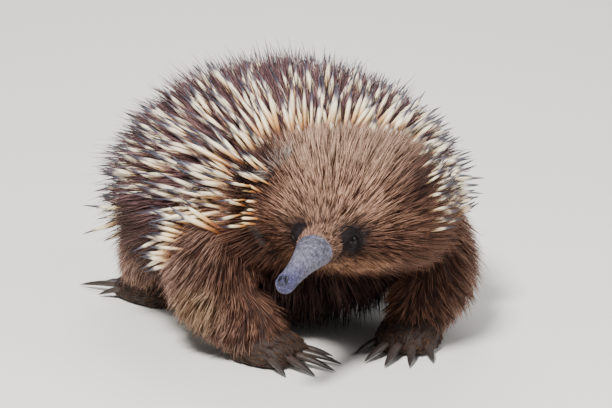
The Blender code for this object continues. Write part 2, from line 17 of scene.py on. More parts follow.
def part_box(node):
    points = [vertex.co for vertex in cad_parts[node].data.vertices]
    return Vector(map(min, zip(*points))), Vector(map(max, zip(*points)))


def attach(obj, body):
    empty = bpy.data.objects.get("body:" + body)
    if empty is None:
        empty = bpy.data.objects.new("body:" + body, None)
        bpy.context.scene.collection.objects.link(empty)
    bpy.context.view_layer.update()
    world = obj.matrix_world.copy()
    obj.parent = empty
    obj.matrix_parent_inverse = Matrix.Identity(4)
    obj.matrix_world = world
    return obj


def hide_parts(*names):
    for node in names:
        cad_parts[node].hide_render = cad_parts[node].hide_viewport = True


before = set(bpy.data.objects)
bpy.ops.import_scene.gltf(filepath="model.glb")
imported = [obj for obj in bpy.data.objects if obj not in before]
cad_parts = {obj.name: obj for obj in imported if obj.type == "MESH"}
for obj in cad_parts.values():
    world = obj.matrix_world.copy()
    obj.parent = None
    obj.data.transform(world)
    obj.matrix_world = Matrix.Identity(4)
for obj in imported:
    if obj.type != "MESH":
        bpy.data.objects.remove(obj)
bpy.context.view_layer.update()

UP = Vector((0.0, 0.0, 1.0))
SEED = 11

# Trunk: place along Y, half width, top and bottom of the coat's core.
TRUNK = (
    (0.152, 0.016, 0.072, 0.043),
    (0.140, 0.043, 0.096, 0.032),
    (0.114, 0.070, 0.122, 0.025),
    (0.070, 0.089, 0.140, 0.023),
    (0.020, 0.096, 0.146, 0.023),
    (-0.020, 0.090, 0.144, 0.025),
    (-0.042, 0.077, 0.139, 0.030),
    (-0.055, 0.058, 0.131, 0.040),
    (-0.061, 0.037, 0.119, 0.054),
)
TRUNK_MIDDLE = 0.045
TRUNK_REACH = 0.107
WIDEST_AT = 0.35
TRUNK_SQUARENESS = 2.15

# Neck and head: distance along the bent axis, half width, top and bottom above the floor.
HEAD_START = Vector((0.0, -0.055, 0.0))
HEAD_TURN = math.radians(38)
TURN_LENGTH = 0.046
HEAD = (
    (-0.016, 0.050, 0.128, 0.060),
    (0.000, 0.061, 0.132, 0.053),
    (0.018, 0.061, 0.132, 0.053),
    (0.034, 0.052, 0.126, 0.058),
    (0.046, 0.0385, 0.116, 0.062),
    (0.055, 0.0250, 0.105, 0.066),
    (0.063, 0.0165, 0.096, 0.069),
    (0.070, 0.0130, 0.0910, 0.0715),
    (0.076, 0.0105, 0.088, 0.073),
)
HEAD_SQUARENESS = 2.2
AXIS_STEPS = 40

# Beak: distance past the head's axis start, half width, half height, height of its middle.
BEAK_TURN = math.radians(41)
BEAK = (
    (0.058, 0.0100, 0.0085, 0.0832),
    (0.064, 0.0121, 0.0100, 0.0828),
    (0.074, 0.0120, 0.0099, 0.0815),
    (0.084, 0.0097, 0.0086, 0.0797),
    (0.096, 0.0071, 0.0068, 0.0772),
    (0.110, 0.0058, 0.0056, 0.0741),
    (0.119, 0.0057, 0.0056, 0.0722),
    (0.1225, 0.0048, 0.0048, 0.0714),
    (0.1236, 0.0030, 0.0030, 0.0712),
)
# Folds across the beak: distance, half width, depth.
BEAK_FOLDS = ((0.0786, 0.0006, 0.7), (0.0812, 0.0008, 1.0), (0.0850, 0.0008, 0.8), (0.0905, 0.0008, 0.4))
BEAK_ROOT = 0.064
BEAK_ROOT_HEIGHT = 0.0828
BEAK_TIP = (0.1230, 0.0714)
BEAK_WAIST = (0.110, 0.0741)
NOSTRIL_SPREAD = 0.0019
NOSTRIL_DEPTH = 0.0021
MOUTH_DEPTH = 0.0005

EYE_RADIUS = 0.0042
EYE_ALONG = 0.0625
EYE_SPREAD = 0.0160
EYE_HEIGHT = 0.0852
EYE_PATCH = 0.0092
LID_GAP = 0.0027
LID_GRID = (72, 30)
BARE_OF_ROOTS = 0.0066
BARE_OF_TIPS = 0.0058

EAR_ALONG = 0.018
EAR_HEIGHT = 0.086
EAR_SIGHT = (0.100, 0.086)
EAR_TALL = 0.0085
EAR_WIDE = 0.0042
EAR_SUNK = 0.0013
EAR_HOLLOW = 0.0034
EAR_HAIRS = 1700
BRIDGE_HAIRS = 6500

FORELEG = (
    ((0.052, -0.020, 0.070), 0.033),
    ((0.066, -0.030, 0.053), 0.032),
    ((0.068, -0.042, 0.036), 0.0275),
    ((0.056, -0.055, 0.022), 0.0230),
    ((0.047, -0.062, 0.012), 0.0200),
)
HINDLEG = (
    ((0.044, 0.060, 0.070), 0.036),
    ((0.062, 0.064, 0.052), 0.035),
    ((0.074, 0.072, 0.036), 0.028),
    ((0.077, 0.083, 0.021), 0.021),
    ((0.076, 0.087, 0.011), 0.0175),
)
FORE_FOOT = {"heel": (0.051, -0.057), "reach": 0.033, "turn": -38.0, "half_width": 0.0205}
HIND_FOOT = {"heel": (0.072, 0.072), "reach": 0.040, "turn": 158.0, "half_width": 0.0175}
FOOT_ROWS = (
    (-0.30, 0.50, 0.70),
    (-0.16, 0.84, 0.96),
    (0.20, 1.00, 1.00),
    (0.60, 1.02, 0.80),
    (0.88, 0.86, 0.56),
    (1.00, 0.60, 0.36),
)
FOOT_MIDDLE = 0.004
FOOT_RISE = 0.0195
FOOT_DROP = 0.008
FOOT_SQUARENESS = 2.6
SOLE_HEIGHT = 0.0004
FORE_CLAWS = (0.016, 0.022, 0.024, 0.022, 0.015)
HIND_CLAWS = (0.012, 0.032, 0.024, 0.018, 0.011)
CLAW_THICKNESS = 0.0032
CLAW_SPREAD = 58.0
CLAW_ROOT_HEIGHT = 0.0068
CLAW_TIP_HEIGHT = 0.0012
CLAW_ROOTED = 0.004
CLAW_EXTRA = 0.010

TAIL = (
    ((0.0, 0.130, 0.060), 0.024),
    ((0.0, 0.152, 0.056), 0.020),
    ((0.0, 0.172, 0.049), 0.014),
    ((0.0, 0.186, 0.042), 0.006),
)

# The coat lies back from this point on the face.
FACE = Vector((-0.035, -0.135, 0.090))

# Points down and round of each rolled form.
TRUNK_MESH = (60, 72)
HEAD_MESH = (60, 64)
LIMB_MESH = (26, 32)
FOOT_MESH = (24, 32)
BEAK_MESH = (150, 72)
CLAW_MESH = (16, 14)

# How far the skin lies inside the coat's cores.
TRUNK_DEPTH = 0.008
HEAD_DEPTH = 0.0022
LEG_DEPTH = 0.005
FOOT_DEPTH = 0.0016
TAIL_DEPTH = 0.004
SKIN_GRAIN = 0.0022
SKIN_EASING = 6
SKIN_SHADE = 0.62

# Long spines: tries spread over the trunk from two middles, and the bounds of their roots and tips.
SPINE_PLACES = 2150
LOW_SPINE_PLACES = 1100
SPINE_MIDDLE = Vector((0, 0.045, 0.075))
LOW_SPINE_MIDDLE = Vector((0, 0.030, 0.050))
SPINE_SPREAD = (0.096, 0.107, 0.070)
SPINY_WIDE = 0.093
SPINES_OUT = 0.112
SPINY_LOW = 0.042

# Their size, how far they stand off the coat's core, and how deep they root where the skin isn't met.
SPINE_SHORT = 0.025
SPINE_LONG = 0.040
SPINE_RADIUS = 0.0015
SPINE_LEAN = math.radians(40)
CROWN_LEAN = math.radians(28)
ROOT_DEPTH = 0.010
SPINE_SIDES = 6

# Small spines of neck, shoulders and crown: tries, the least gap between roots, and how far they stand off.
CAPE_TRIES = 4000
CAPE_GAP = 0.0042
CROWN_GAP = 0.0050
CAPE_LEAN = math.radians(29)

# Share of a spine's length, and its thickness there against its widest.
SPINE_PROFILE = (
    (0.00, 0.58),
    (0.25, 0.80),
    (0.45, 0.98),
    (0.58, 1.00),
    (0.68, 0.86),
    (0.75, 0.62),
    (0.80, 0.42),
    (0.90, 0.28),
)
# Share of a spine's length, and its colour there on a 0 to 255 scale.
SPINE_BANDS = (
    (0.00, (104, 56, 26)),
    (0.24, (150, 86, 40)),
    (0.38, (212, 156, 92)),
    (0.49, (244, 216, 168)),
    (0.62, (252, 240, 214)),
    (0.72, (238, 224, 200)),
    (0.77, (110, 102, 116)),
    (0.84, (58, 56, 72)),
    (1.00, (34, 34, 46)),
)

# Each region's fur colours on a 0 to 255 scale, low on a tuft and out along it.
REGIONS = ("trunk", "head", "tail", "leg", "foot")
FUR_SHADES = {
    "flank": ((46, 29, 28), (122, 92, 86)),
    # Painted light: the trunk's upward-facing back is painted lighter than the flanks.
    "back": ((56, 37, 39), (170, 128, 130)),
    # Painted shade: the trunk's underside, belly and breast, is painted near black.
    "under": ((26, 18, 15), (66, 46, 36)),
    "face": ((46, 27, 22), (190, 140, 116)),
    # Painted shade: the lower cheeks are painted darker than the face.
    "jowl": ((33, 20, 17), (150, 106, 88)),
    "brow": ((70, 40, 30), (250, 198, 168)),
    "crown": ((70, 42, 33), (255, 212, 182)),
    "temple": ((32, 20, 20), (116, 82, 74)),
    "lip": ((62, 37, 27), (228, 172, 136)),
    "eye_ring": ((20, 13, 15), (62, 41, 40)),
    "inner_leg": ((64, 40, 32), (162, 118, 98)),
    "outer_leg": ((98, 64, 55), (240, 200, 180)),
    "elbow": ((110, 78, 58), (222, 188, 156)),
    "foot": ((52, 36, 30), (128, 98, 78)),
    "tail": ((50, 34, 30), (120, 92, 84)),
    "ear": ((70, 52, 50), (216, 200, 192)),
}
ELBOW = (-0.082, -0.054, 0.038)

# The viewpoint: round from the front, up, how far off, and how far above the origin it aims.
CAMERA_AZIMUTH = math.radians(-18)
CAMERA_ELEVATION = math.radians(14)
CAMERA_DISTANCE = 1.9
CAMERA_RISE = 0.0750
CAMERA_LENS = 180

# The most of each in one piece, which keeps every piece under 200,000 triangles.
MOST_TUFTS = 12000
MOST_SPINES = 1900

# How wide a tuft's patch is on the unwrap, how flat a tuft is, and how near the floor it may come.
BAKE_PATCH = 0.003
TUFT_FLATNESS = 0.55
LOWEST_HAIR = 0.0006
# By how many rings a tuft has: the shares of its length that they stand at, and its thickness at each.
TUFT_STATIONS = {2: (0.0, 0.5, 1.0), 3: (0.0, 0.33, 0.68, 1.0)}
TUFT_PROFILES = {2: (1.0, 0.82), 3: (0.9, 1.0, 0.72)}


def paint(red, green, blue):
    """A colour picked on a 0 to 255 scale, as the shader's linear numbers."""
    made = []
    for value in (red, green, blue):
        v = value / 255
        made.append(v / 12.92 if v <= 0.04045 else ((v + 0.055) / 1.055) ** 2.4)
    return tuple(made)


def ramp(values, start, over):
    """0 at start and before, rising to 1 over that distance. A negative distance rises the other way."""
    return np.clip((values - start) / over, 0, 1)


def row_at(rows, share):
    """The row of numbers at that share of the way along a smooth curve through the rows."""
    last = len(rows) - 1
    place = last * max(0.0, min(1.0, share))
    i = min(int(place), last - 1)
    t = place - i
    before, a, b, after = (rows[max(0, min(last, i + k))] for k in (-1, 0, 1, 2))
    return tuple(
        0.5 * (2 * q + (r - p) * t + (2 * p - 5 * q + 4 * r - s) * t**2 + (3 * q - p - 3 * r + s) * t**3)
        for p, q, r, s in zip(before, a, b, after)
    )


def on_ring(centre, forward, half_width, rise, drop, angle, squareness, reference=UP):
    """A point of a rounded ring about centre, across forward."""
    side = forward.cross(reference).normalized()
    up = side.cross(forward).normalized()
    power = 2.0 / squareness
    c, s = math.cos(angle), math.sin(angle)
    across = half_width * math.copysign(abs(c) ** power, c)
    tall = (rise if s > 0 else drop) * math.copysign(abs(s) ** power, s)
    return centre + side * across + up * tall


def rolled(count, sides, spot):
    """A sheet rolled into a closed tube. spot(share along, angle round) gives each point's place."""
    bm = bmesh.new()
    bmesh.ops.create_grid(bm, x_segments=sides, y_segments=count, size=1.0)
    for vertex in bm.verts:
        vertex.co = spot((vertex.co.y + 1) / 2, math.pi * (vertex.co.x + 1))
    bmesh.ops.remove_doubles(bm, verts=bm.verts, dist=1e-6)
    ends = [edge for edge in bm.edges if edge.is_boundary]
    if ends:
        bmesh.ops.holes_fill(bm, edges=ends, sides=0)
    bmesh.ops.recalc_face_normals(bm, faces=bm.faces)
    return bm


def heading_at(along):
    """The way that the head's axis runs there, as it turns from straight ahead to the animal's right."""
    share = max(0.0, min(1.0, along / TURN_LENGTH))
    angle = HEAD_TURN * share * share * (3 - 2 * share)
    return Vector((-math.sin(angle), -math.cos(angle), 0.0))


def head_axis(along):
    """(point on the floor, heading, the head's own left) at that distance along the neck and head."""
    point = HEAD_START.copy()
    for step in range(AXIS_STEPS):
        point += heading_at(along * (step + 0.5) / AXIS_STEPS) * (along / AXIS_STEPS)
    heading = heading_at(along)
    return point, heading, Vector((-heading.y, heading.x, 0.0))


def beak_heading():
    """The level way that the beak points, a little further round than the head."""
    return Vector((-math.sin(BEAK_TURN), -math.cos(BEAK_TURN), 0.0))


def beak_point(along, height):
    """A point above the beak's axis, which leaves the head's axis at the beak's root."""
    return head_axis(BEAK_ROOT)[0] + beak_heading() * (along - BEAK_ROOT) + UP * height


def eye_centre(side):
    """The middle of the left (1) or right (-1) eyeball."""
    point, _, left = head_axis(EYE_ALONG)
    return point + left * (EYE_SPREAD * side) + UP * EYE_HEIGHT


def eye_outward(side):
    """The way that the eye looks: aside, and a good deal ahead."""
    _, heading, left = head_axis(EYE_ALONG)
    return (left * side * 0.80 + heading * 0.56 + UP * 0.16).normalized()


def part_shift():
    """How far the part was moved to stand centred on the origin, from where its eyes are."""
    middle = sum((sum(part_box(f"eye_{label}"), Vector()) / 2 for label in ("left", "right")), Vector()) / 2
    moved = middle - (eye_centre(1) + eye_centre(-1)) / 2
    return Vector((moved.x, moved.y, 0.0))


SHIFT = part_shift()
MUZZLE = beak_point(BEAK_ROOT + 0.004, 0.0825)


# Forms: what the skin wraps, and the helpers that make and finish a mesh.


def trunk_form(depth):
    """The trunk's closed form, that far inside its core."""
    squeeze = 1 - depth / TRUNK_REACH

    def spot(share, angle):
        y, half_width, top, bottom = row_at(TRUNK, share)
        y = TRUNK_MIDDLE + (y - TRUNK_MIDDLE) * squeeze
        half_width, top, bottom = max(0.004, half_width - depth), top - depth, bottom + depth
        middle = bottom + WIDEST_AT * (top - bottom)
        centre, forward = Vector((0.0, y, middle)), Vector((0, -1, 0))
        return on_ring(centre, forward, half_width, top - middle, middle - bottom, angle, TRUNK_SQUARENESS)

    return rolled(*TRUNK_MESH, spot)


def head_form(depth):
    """Neck and head in one closed form, that far inside its core, and less so towards the beak."""

    def spot(share, angle):
        along, half_width, top, bottom = row_at(HEAD, share)
        point, heading, _ = head_axis(along)
        middle = 0.5 * (top + bottom)
        here = depth * (1 - 0.8 * max(0.0, min(1.0, (along - 0.054) / 0.012)))
        half_width, top, bottom = half_width - here, top - here, bottom + here
        return on_ring(point + UP * middle, heading, half_width, top - middle, middle - bottom, angle,
                       HEAD_SQUARENESS)

    return rolled(*HEAD_MESH, spot)


def mirrored(point, side):
    """A place given for the animal's left side, on its left (1) or right (-1)."""
    return Vector((point[0] * side, point[1], point[2]))


def limb_form(rows, side, depth):
    """A leg or the tail, swept down its points, that far inside its core."""
    flat = [(*point, radius) for point, radius in rows]

    def spot(share, angle):
        row = row_at(flat, share)
        before, after = row_at(flat, share - 0.06), row_at(flat, share + 0.06)
        forward = (mirrored(after[:3], side) - mirrored(before[:3], side)).normalized()
        reference = Vector((0, 1, 0)) if abs(flat[0][2] - flat[-1][2]) > 0.03 else UP
        radius = max(0.002, row[3] - depth)
        return on_ring(mirrored(row[:3], side), forward, radius, radius, radius, angle, 2.0, reference)

    return rolled(*LIMB_MESH, spot)


def foot_frame(shape, side):
    """(heel on the floor, heading) of a foot."""
    angle = math.radians(shape["turn"])
    heading = Vector((math.sin(angle) * side, -math.cos(angle), 0.0))
    return mirrored((*shape["heel"], 0.0), side), heading


def foot_form(shape, side, depth):
    """A broad low foot with a flat sole, that far inside its core."""
    heel, heading = foot_frame(shape, side)
    wide, reach = shape["half_width"] - depth, shape["reach"]

    def spot(share, angle):
        along, width, rise = row_at(FOOT_ROWS, share)
        centre = heel + heading * (along * (reach - depth)) + UP * FOOT_MIDDLE
        place = on_ring(centre, heading, wide * width, (FOOT_RISE - depth) * rise, FOOT_DROP, angle,
                        FOOT_SQUARENESS)
        place.z = max(place.z, SOLE_HEIGHT)
        return place

    return rolled(*FOOT_MESH, spot)


def finished(name, mesh, look, slot, *stood_for):
    """A named object of that mesh and look, moved by the shift and riding on the part's body."""
    mesh.transform(Matrix.Translation(SHIFT))
    mesh.shade_smooth()
    made = bpy.data.objects.new(name, mesh)
    mesh.materials.append(look)
    bpy.context.scene.collection.objects.link(made)
    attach(made, "root")
    if stood_for:
        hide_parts(*stood_for)
    return made


def mesh_of(bm, name):
    """A mesh of that bmesh, which is freed."""
    mesh = bpy.data.meshes.new(name)
    bm.to_mesh(mesh)
    bm.free()
    return mesh


def tree_over(mesh):
    """A search tree over the mesh's faces."""
    places = [tuple(vertex.co) for vertex in mesh.vertices]
    return BVHTree.FromPolygons(places, [tuple(face.vertices) for face in mesh.polygons])


def set_tint(mesh, colours):
    """Stores a colour at each point of the mesh, for its look to read."""
    tint = mesh.color_attributes.new("tint", "FLOAT_COLOR", "POINT")
    data = np.ones((len(mesh.vertices), 4))
    data[:, :3] = colours
    tint.data.foreach_set("color", data.astype(np.float32).ravel())


def joined(forms):
    """One bmesh holding every given closed form."""
    whole = bmesh.new()
    for form in forms:
        piece = mesh_of(form, "piece")
        whole.from_mesh(piece)
        bpy.data.meshes.remove(piece)
    return whole


def skin_forms():
    """(region, closed form) of everything that the skin wraps."""
    made = [("trunk", trunk_form(TRUNK_DEPTH)), ("head", head_form(HEAD_DEPTH))]
    made.append(("tail", limb_form(TAIL, 1, TAIL_DEPTH)))
    for side in (1, -1):
        for rows in (FORELEG, HINDLEG):
            made.append(("leg", limb_form(rows, side, LEG_DEPTH)))
        for shape in (FORE_FOOT, HIND_FOOT):
            made.append(("foot", foot_form(shape, side, FOOT_DEPTH)))
    return made


def skin_mesh(forms):
    """One closed skin over all of the forms, with their joins eased."""
    whole = joined([form.copy() for _, form in forms])
    rough = bpy.data.objects.new("rough_skin", mesh_of(whole, "rough_skin"))
    bpy.context.scene.collection.objects.link(rough)
    wrap = rough.modifiers.new("wrap", "REMESH")
    wrap.mode = "VOXEL"
    wrap.voxel_size = SKIN_GRAIN
    graph = bpy.context.evaluated_depsgraph_get()
    mesh = bpy.data.meshes.new_from_object(rough.evaluated_get(graph))
    bpy.data.objects.remove(rough)
    bm = bmesh.new()
    bm.from_mesh(mesh)
    for _ in range(SKIN_EASING):
        bmesh.ops.smooth_vert(bm, verts=bm.verts, factor=0.5, use_axis_x=True, use_axis_y=True,
                              use_axis_z=True)
    bm.to_mesh(mesh)
    bm.free()
    mesh.name = "skin"
    return mesh


def unwrapped(mesh):
    """Gives the skin its unwrap, named OFBake."""
    holder = bpy.data.objects.new("unwrap", mesh)
    bpy.context.scene.collection.objects.link(holder)
    mesh.uv_layers.new(name="OFBake")
    bpy.context.view_layer.objects.active = holder
    holder.select_set(True)
    bpy.ops.object.mode_set(mode="EDIT")
    bpy.ops.mesh.select_all(action="SELECT")
    bpy.ops.uv.smart_project(angle_limit=math.radians(66), island_margin=0.002)
    bpy.ops.object.mode_set(mode="OBJECT")
    bpy.data.objects.remove(holder)
    return mesh


# The coat's fields: region, lie, length, lift and shades over the skin.


def numbers(collection, field, width, kind=np.float32):
    """A field of a mesh's collection as an array with that many columns."""
    made = np.zeros(len(collection) * width, kind)
    collection.foreach_get(field, made)
    return made.reshape(-1, width) if width > 1 else made


def unit(vectors):
    """The vectors, each made one long."""
    length = np.linalg.norm(vectors, axis=-1, keepdims=True)
    return vectors / np.maximum(length, 1e-9)


def dot(a, b):
    """The dot product row by row, as one column."""
    return (a * b).sum(-1, keepdims=True)


def eased(values, edges, rounds):
    """Values at the skin's points, evened out along its edges that many times."""
    values = values.astype(np.float64)
    count = np.bincount(edges.ravel(), minlength=len(values)).astype(float)
    count = count.reshape(-1, *([1] * (values.ndim - 1)))
    for _ in range(rounds):
        total = np.zeros_like(values)
        np.add.at(total, edges[:, 0], values[edges[:, 1]])
        np.add.at(total, edges[:, 1], values[edges[:, 0]])
        values = 0.5 * values + 0.5 * total / np.maximum(count, 1)
    return values


def skin_regions(places, forms):
    """The region of each point of the skin: that of the nearest form."""
    trees = [(REGIONS.index(name), BVHTree.FromBMesh(form)) for name, form in forms]
    region = np.zeros(len(places), int)
    for i, place in enumerate(places):
        at = Vector(place)
        best = 1.0
        for kind, tree in trees:
            hit = tree.find_nearest(at, best)
            if hit[0] is not None and hit[3] < best:
                best, region[i] = hit[3], kind
    return region


def fur_lie(places, region, jowl, below):
    """The way that the fur lies at each point, not yet laid along the skin."""
    head, tail, leg, foot = (region == kind for kind in (1, 2, 3, 4))
    from_muzzle = places - np.array(MUZZLE)
    outward = np.sign(places[:, 0])
    flow = unit(places - np.array(FACE)) - np.array((0, 0, 0.22))
    flow[head] = unit(from_muzzle[head]) + np.array((0, 0.10, 0.0)) - np.outer(jowl[head], (0, 0, 0.30))
    flow[tail] = (0, 1.0, -0.2)
    flow[leg] = np.stack([0.25 * outward[leg], np.full(leg.sum(), 0.34), np.full(leg.sum(), -0.9)], 1)
    flow[(region == 0) & (below > 0.3)] = (0, 0.55, -0.6)
    for side in (1, -1):
        for shape in (FORE_FOOT, HIND_FOOT):
            heel, heading = foot_frame(shape, side)
            near = foot & (np.linalg.norm(places[:, :2] - np.array(heel)[:2], axis=1) < 0.07)
            near &= outward == side
            near &= (places[:, 1] < 0.01) == (shape is FORE_FOOT)
            flow[near] = np.array(heading) - np.array((0, 0, 0.25))
    return flow


def fur_length_and_lift(places, region, reach, jowl, below):
    """The fur's length, and how many degrees it stands off the skin, at each point."""
    head, tail, leg, foot = (region == kind for kind in (1, 2, 3, 4))
    # The trunk's coat grows longer towards the rump, and longest where it hangs under the belly and breast.
    backness = ramp(places[:, 1], -0.05, 0.12)
    breast = below * ramp(places[:, 1], 0.0, -0.03) * np.clip(1.6 - np.abs(places[:, 0]) / 0.035, 0, 1)
    length = 0.024 + 0.020 * backness
    length = length * (1 - below) + 0.030 * below + 0.003 * breast
    # The face's fur is short by the eyes and longer towards the ruff and the jowls.
    length[head] = np.clip(0.0048 + (reach[head] - 0.013) * 0.26, 0.0040, 0.0180)
    length[head] += 0.007 * (jowl * ramp(reach, 0.040, 0.020))[head]
    length[tail] = 0.013
    length[leg] = (0.0105 + 0.0075 * ramp(places[:, 2], 0.018, 0.030))[leg]
    length[foot] = 0.0050
    lift = 33.0 + 11 * backness + 26 * below
    lift[head] = np.clip(14 + (reach[head] - 0.014) * 110, 14, 20) + 8 * ramp(reach[head], 0.056, 0.014)
    lift[tail] = 30
    lift[leg] = 20
    lift[foot] = 12
    return length, lift


def fur_shades(places, normals, region, reach, jowl, under):
    """The fur's two colours at each point: low on a tuft, and out along it."""
    head, tail, leg, foot = (region == kind for kind in (1, 2, 3, 4))
    point, _, left = head_axis(EYE_ALONG - 0.012)
    aside = np.abs(places @ np.array(left) - point.dot(left))
    high = places[:, 2]
    from_eye = np.minimum(*(np.linalg.norm(places - np.array(eye_centre(side)), axis=1) for side in (1, -1)))
    zones = {
        # Painted shade: the face darkens towards the jowl colours low on the cheeks.
        "jowl": jowl,
        "brow": ramp(high, 0.084, 0.012) * ramp(aside, 0.035, -0.012),
        "crown": ramp(high, 0.104, 0.018) * ramp(aside, 0.036, -0.014),
        "temple": ramp(aside, 0.029, 0.010) * ramp(high, 0.092, 0.012),
        "lip": ramp(reach, 0.046, -0.012) * ramp(high, 0.077, -0.005),
        "eye_ring": ramp(from_eye, 0.0116, -0.004),
    }
    # The outer side of each leg is lighter than the inner, and the right elbow lighter still.
    outer = np.clip(normals[:, 0] * np.sign(places[:, 0]), 0, 1)[leg, None]
    elbow = np.linalg.norm(places - np.array(ELBOW), axis=1) < 0.015
    both = []
    for tone in (0, 1):
        colour = {name: np.array(paint(*pair[tone])) for name, pair in FUR_SHADES.items()}
        made = np.tile(colour["flank"], (len(places), 1))
        # Painted light: where the trunk faces up, the coat takes the lighter back colours.
        made[(region == 0) & (normals[:, 2] > 0.2)] = colour["back"]
        # Painted shade: the belly and breast take the dark under colours.
        made[under] = colour["under"]
        face = np.tile(colour["face"], (len(places), 1))
        for name, share in zones.items():
            face = face * (1 - share)[:, None] + colour[name] * share[:, None]
        made[head] = face[head]
        made[leg] = colour["inner_leg"] * (1 - outer) + colour["outer_leg"] * outer
        made[leg & elbow] = colour["elbow"]
        made[foot] = colour["foot"]
        made[tail] = colour["tail"]
        both.append(made)
    return both


def coat_fields(mesh, forms):
    """At each point of the skin: region, the way that the fur lies, its length, lift, shades and density."""
    places = numbers(mesh.vertices, "co", 3)
    normals = numbers(mesh.vertex_normals, "vector", 3)
    edges = numbers(mesh.edges, "vertices", 2, np.int32)
    region = skin_regions(places, forms)
    reach = np.linalg.norm(places - np.array(MUZZLE), axis=1)
    jowl = ramp(places[:, 2], 0.090, -0.018)
    below = ramp(places[:, 2], 0.052, -0.02) * np.clip(-normals[:, 2] * 1.6 + 0.1, 0, 1)
    under = (region == 0) & (below > 0.3)
    flow = eased(fur_lie(places, region, jowl, below), edges, 10)
    length, lift = fur_length_and_lift(places, region, reach, jowl, below)
    dark, light = fur_shades(places, normals, region, reach, jowl, under)
    return {
        "region": region,
        "flow": unit(flow - normals * dot(flow, normals)),
        "length": eased(length, edges, 8),
        "lift": eased(lift, edges, 8),
        "dark": eased(dark, edges, 6),
        "light": eased(light, edges, 6),
        "density": np.where(under, 0.9, 1.0),
        "places": places,
        "normals": normals,
    }


# Tufts of fur.


def strewn_mesh(name, corners, faces, marks, patches, tints):
    """One mesh of many like forms.

    corners: (forms, corners, 3) their places. faces: one form's faces. marks: where each corner lies on its
    form's patch. patches: (forms, 2) each patch's place on the unwrap. tints: (forms, corners, 3) colours.
    """
    count, size, _ = corners.shape
    loops = np.array([corner for face in faces for corner in face])
    starts = np.cumsum([0] + [len(face) for face in faces[:-1]])
    each = np.arange(count)[:, None]
    mesh = bpy.data.meshes.new(name)
    mesh.vertices.add(count * size)
    mesh.vertices.foreach_set("co", corners.astype(np.float32).ravel())
    mesh.loops.add(count * len(loops))
    mesh.loops.foreach_set("vertex_index", (loops + each * size).astype(np.int32).ravel())
    mesh.polygons.add(count * len(starts))
    mesh.polygons.foreach_set("loop_start", (starts + each * len(loops)).astype(np.int32).ravel())
    mesh.update(calc_edges=True)
    spread = np.array(marks)[loops] * BAKE_PATCH + patches[:, None, :]
    mesh.uv_layers.new(name="OFBake").data.foreach_set("uv", spread.astype(np.float32).ravel())
    set_tint(mesh, tints.reshape(-1, 3))
    return mesh


def pointed_faces(rings, sides):
    """The faces of a closed, pointed form: a cap at its root, walls between its rings, and its tip."""
    tip = rings * sides
    faces = [tuple(range(sides - 1, -1, -1))]
    for r in range(rings - 1):
        for k in range(sides):
            j = (k + 1) % sides
            faces.append((r * sides + k, r * sides + j, (r + 1) * sides + j, (r + 1) * sides + k))
    for k in range(sides):
        faces.append((tip - sides + k, tip - sides + (k + 1) % sides, tip))
    return faces


def tuft_mesh(name, lines, half_widths, facing, patches, tints):
    """One mesh of closed, three-sided tufts.

    lines: (tufts, rings + 1, 3) places down each tuft, its tip last. half_widths: (tufts, rings).
    facing: (tufts, 3) the way that each tuft's flat side looks. tints: (tufts, rings + 1, 3) down its length.
    """
    count, stations, _ = lines.shape
    rings = stations - 1
    along = np.empty_like(lines[:, :-1])
    along[:, 0] = lines[:, 1] - lines[:, 0]
    along[:, 1:] = lines[:, 2:] - lines[:, :-2]
    along = unit(along)
    across = unit(np.cross(along, facing[:, None, :]))
    out = np.cross(across, along)
    corners = np.empty((count, rings * 3 + 1, 3))
    for k in range(3):
        angle = math.pi / 2 + k * 2 * math.pi / 3
        corners[:, k : rings * 3 : 3] = (
            lines[:, :-1]
            + across * (half_widths * math.cos(angle))[..., None]
            + out * (half_widths * TUFT_FLATNESS * math.sin(angle))[..., None]
        )
    corners[:, -1] = lines[:, -1]
    marks = [((i % 3) / 2, (i // 3) / rings) for i in range(rings * 3)] + [(0.5, 1.0)]
    tints = np.concatenate([np.repeat(tints[:, :-1], 3, axis=1), tints[:, -1:]], axis=1)
    return strewn_mesh(name, corners, pointed_faces(rings, 3), marks, patches, tints)


def scattered(mesh, fields, weights, count, seed):
    """Roots spread over the skin by area and weight: places, normals, flows and the rest, at each root."""
    rng = np.random.default_rng(seed)
    mesh.calc_loop_triangles()
    corners = numbers(mesh.loop_triangles, "vertices", 3, np.int32)
    loops = numbers(mesh.loop_triangles, "loops", 3, np.int32)
    area = numbers(mesh.loop_triangles, "area", 1)
    chance = area * weights[corners].mean(1)
    pick = np.searchsorted(np.cumsum(chance) / chance.sum(), rng.uniform(size=count))
    pick = np.minimum(pick, len(area) - 1)
    a, b = rng.uniform(size=(2, count))
    over = a + b > 1
    a[over], b[over] = 1 - a[over], 1 - b[over]
    shares = np.stack([1 - a - b, a, b], 1)
    found = {}
    for key in ("places", "normals", "flow", "length", "lift", "dark", "light"):
        values = fields[key][corners[pick]]
        if values.ndim == 3:
            found[key] = (values * shares[..., None]).sum(1)
        else:
            found[key] = (values * shares).sum(1)
    found["normals"] = unit(found["normals"])
    flow = found["flow"] - found["normals"] * dot(found["flow"], found["normals"])
    found["flow"] = unit(flow)
    sheet = numbers(mesh.uv_layers["OFBake"].data, "uv", 2)
    found["patch"] = (sheet[loops[pick]] * shares[..., None]).sum(1)
    return found


def kept(roots, keep):
    """Only the roots that keep picks."""
    return {key: values[keep] for key, values in roots.items()}


def clumps(places, size, rng):
    """For each root, which clump it belongs to: the nearest of an evenly picked few."""
    heads = rng.choice(len(places), max(1, len(places) // size), replace=False)
    tree = KDTree(len(heads))
    for i, head in enumerate(heads):
        tree.insert(places[head], i)
    tree.balance()
    nearest = np.array([tree.find(place)[1] for place in places])
    return heads, nearest


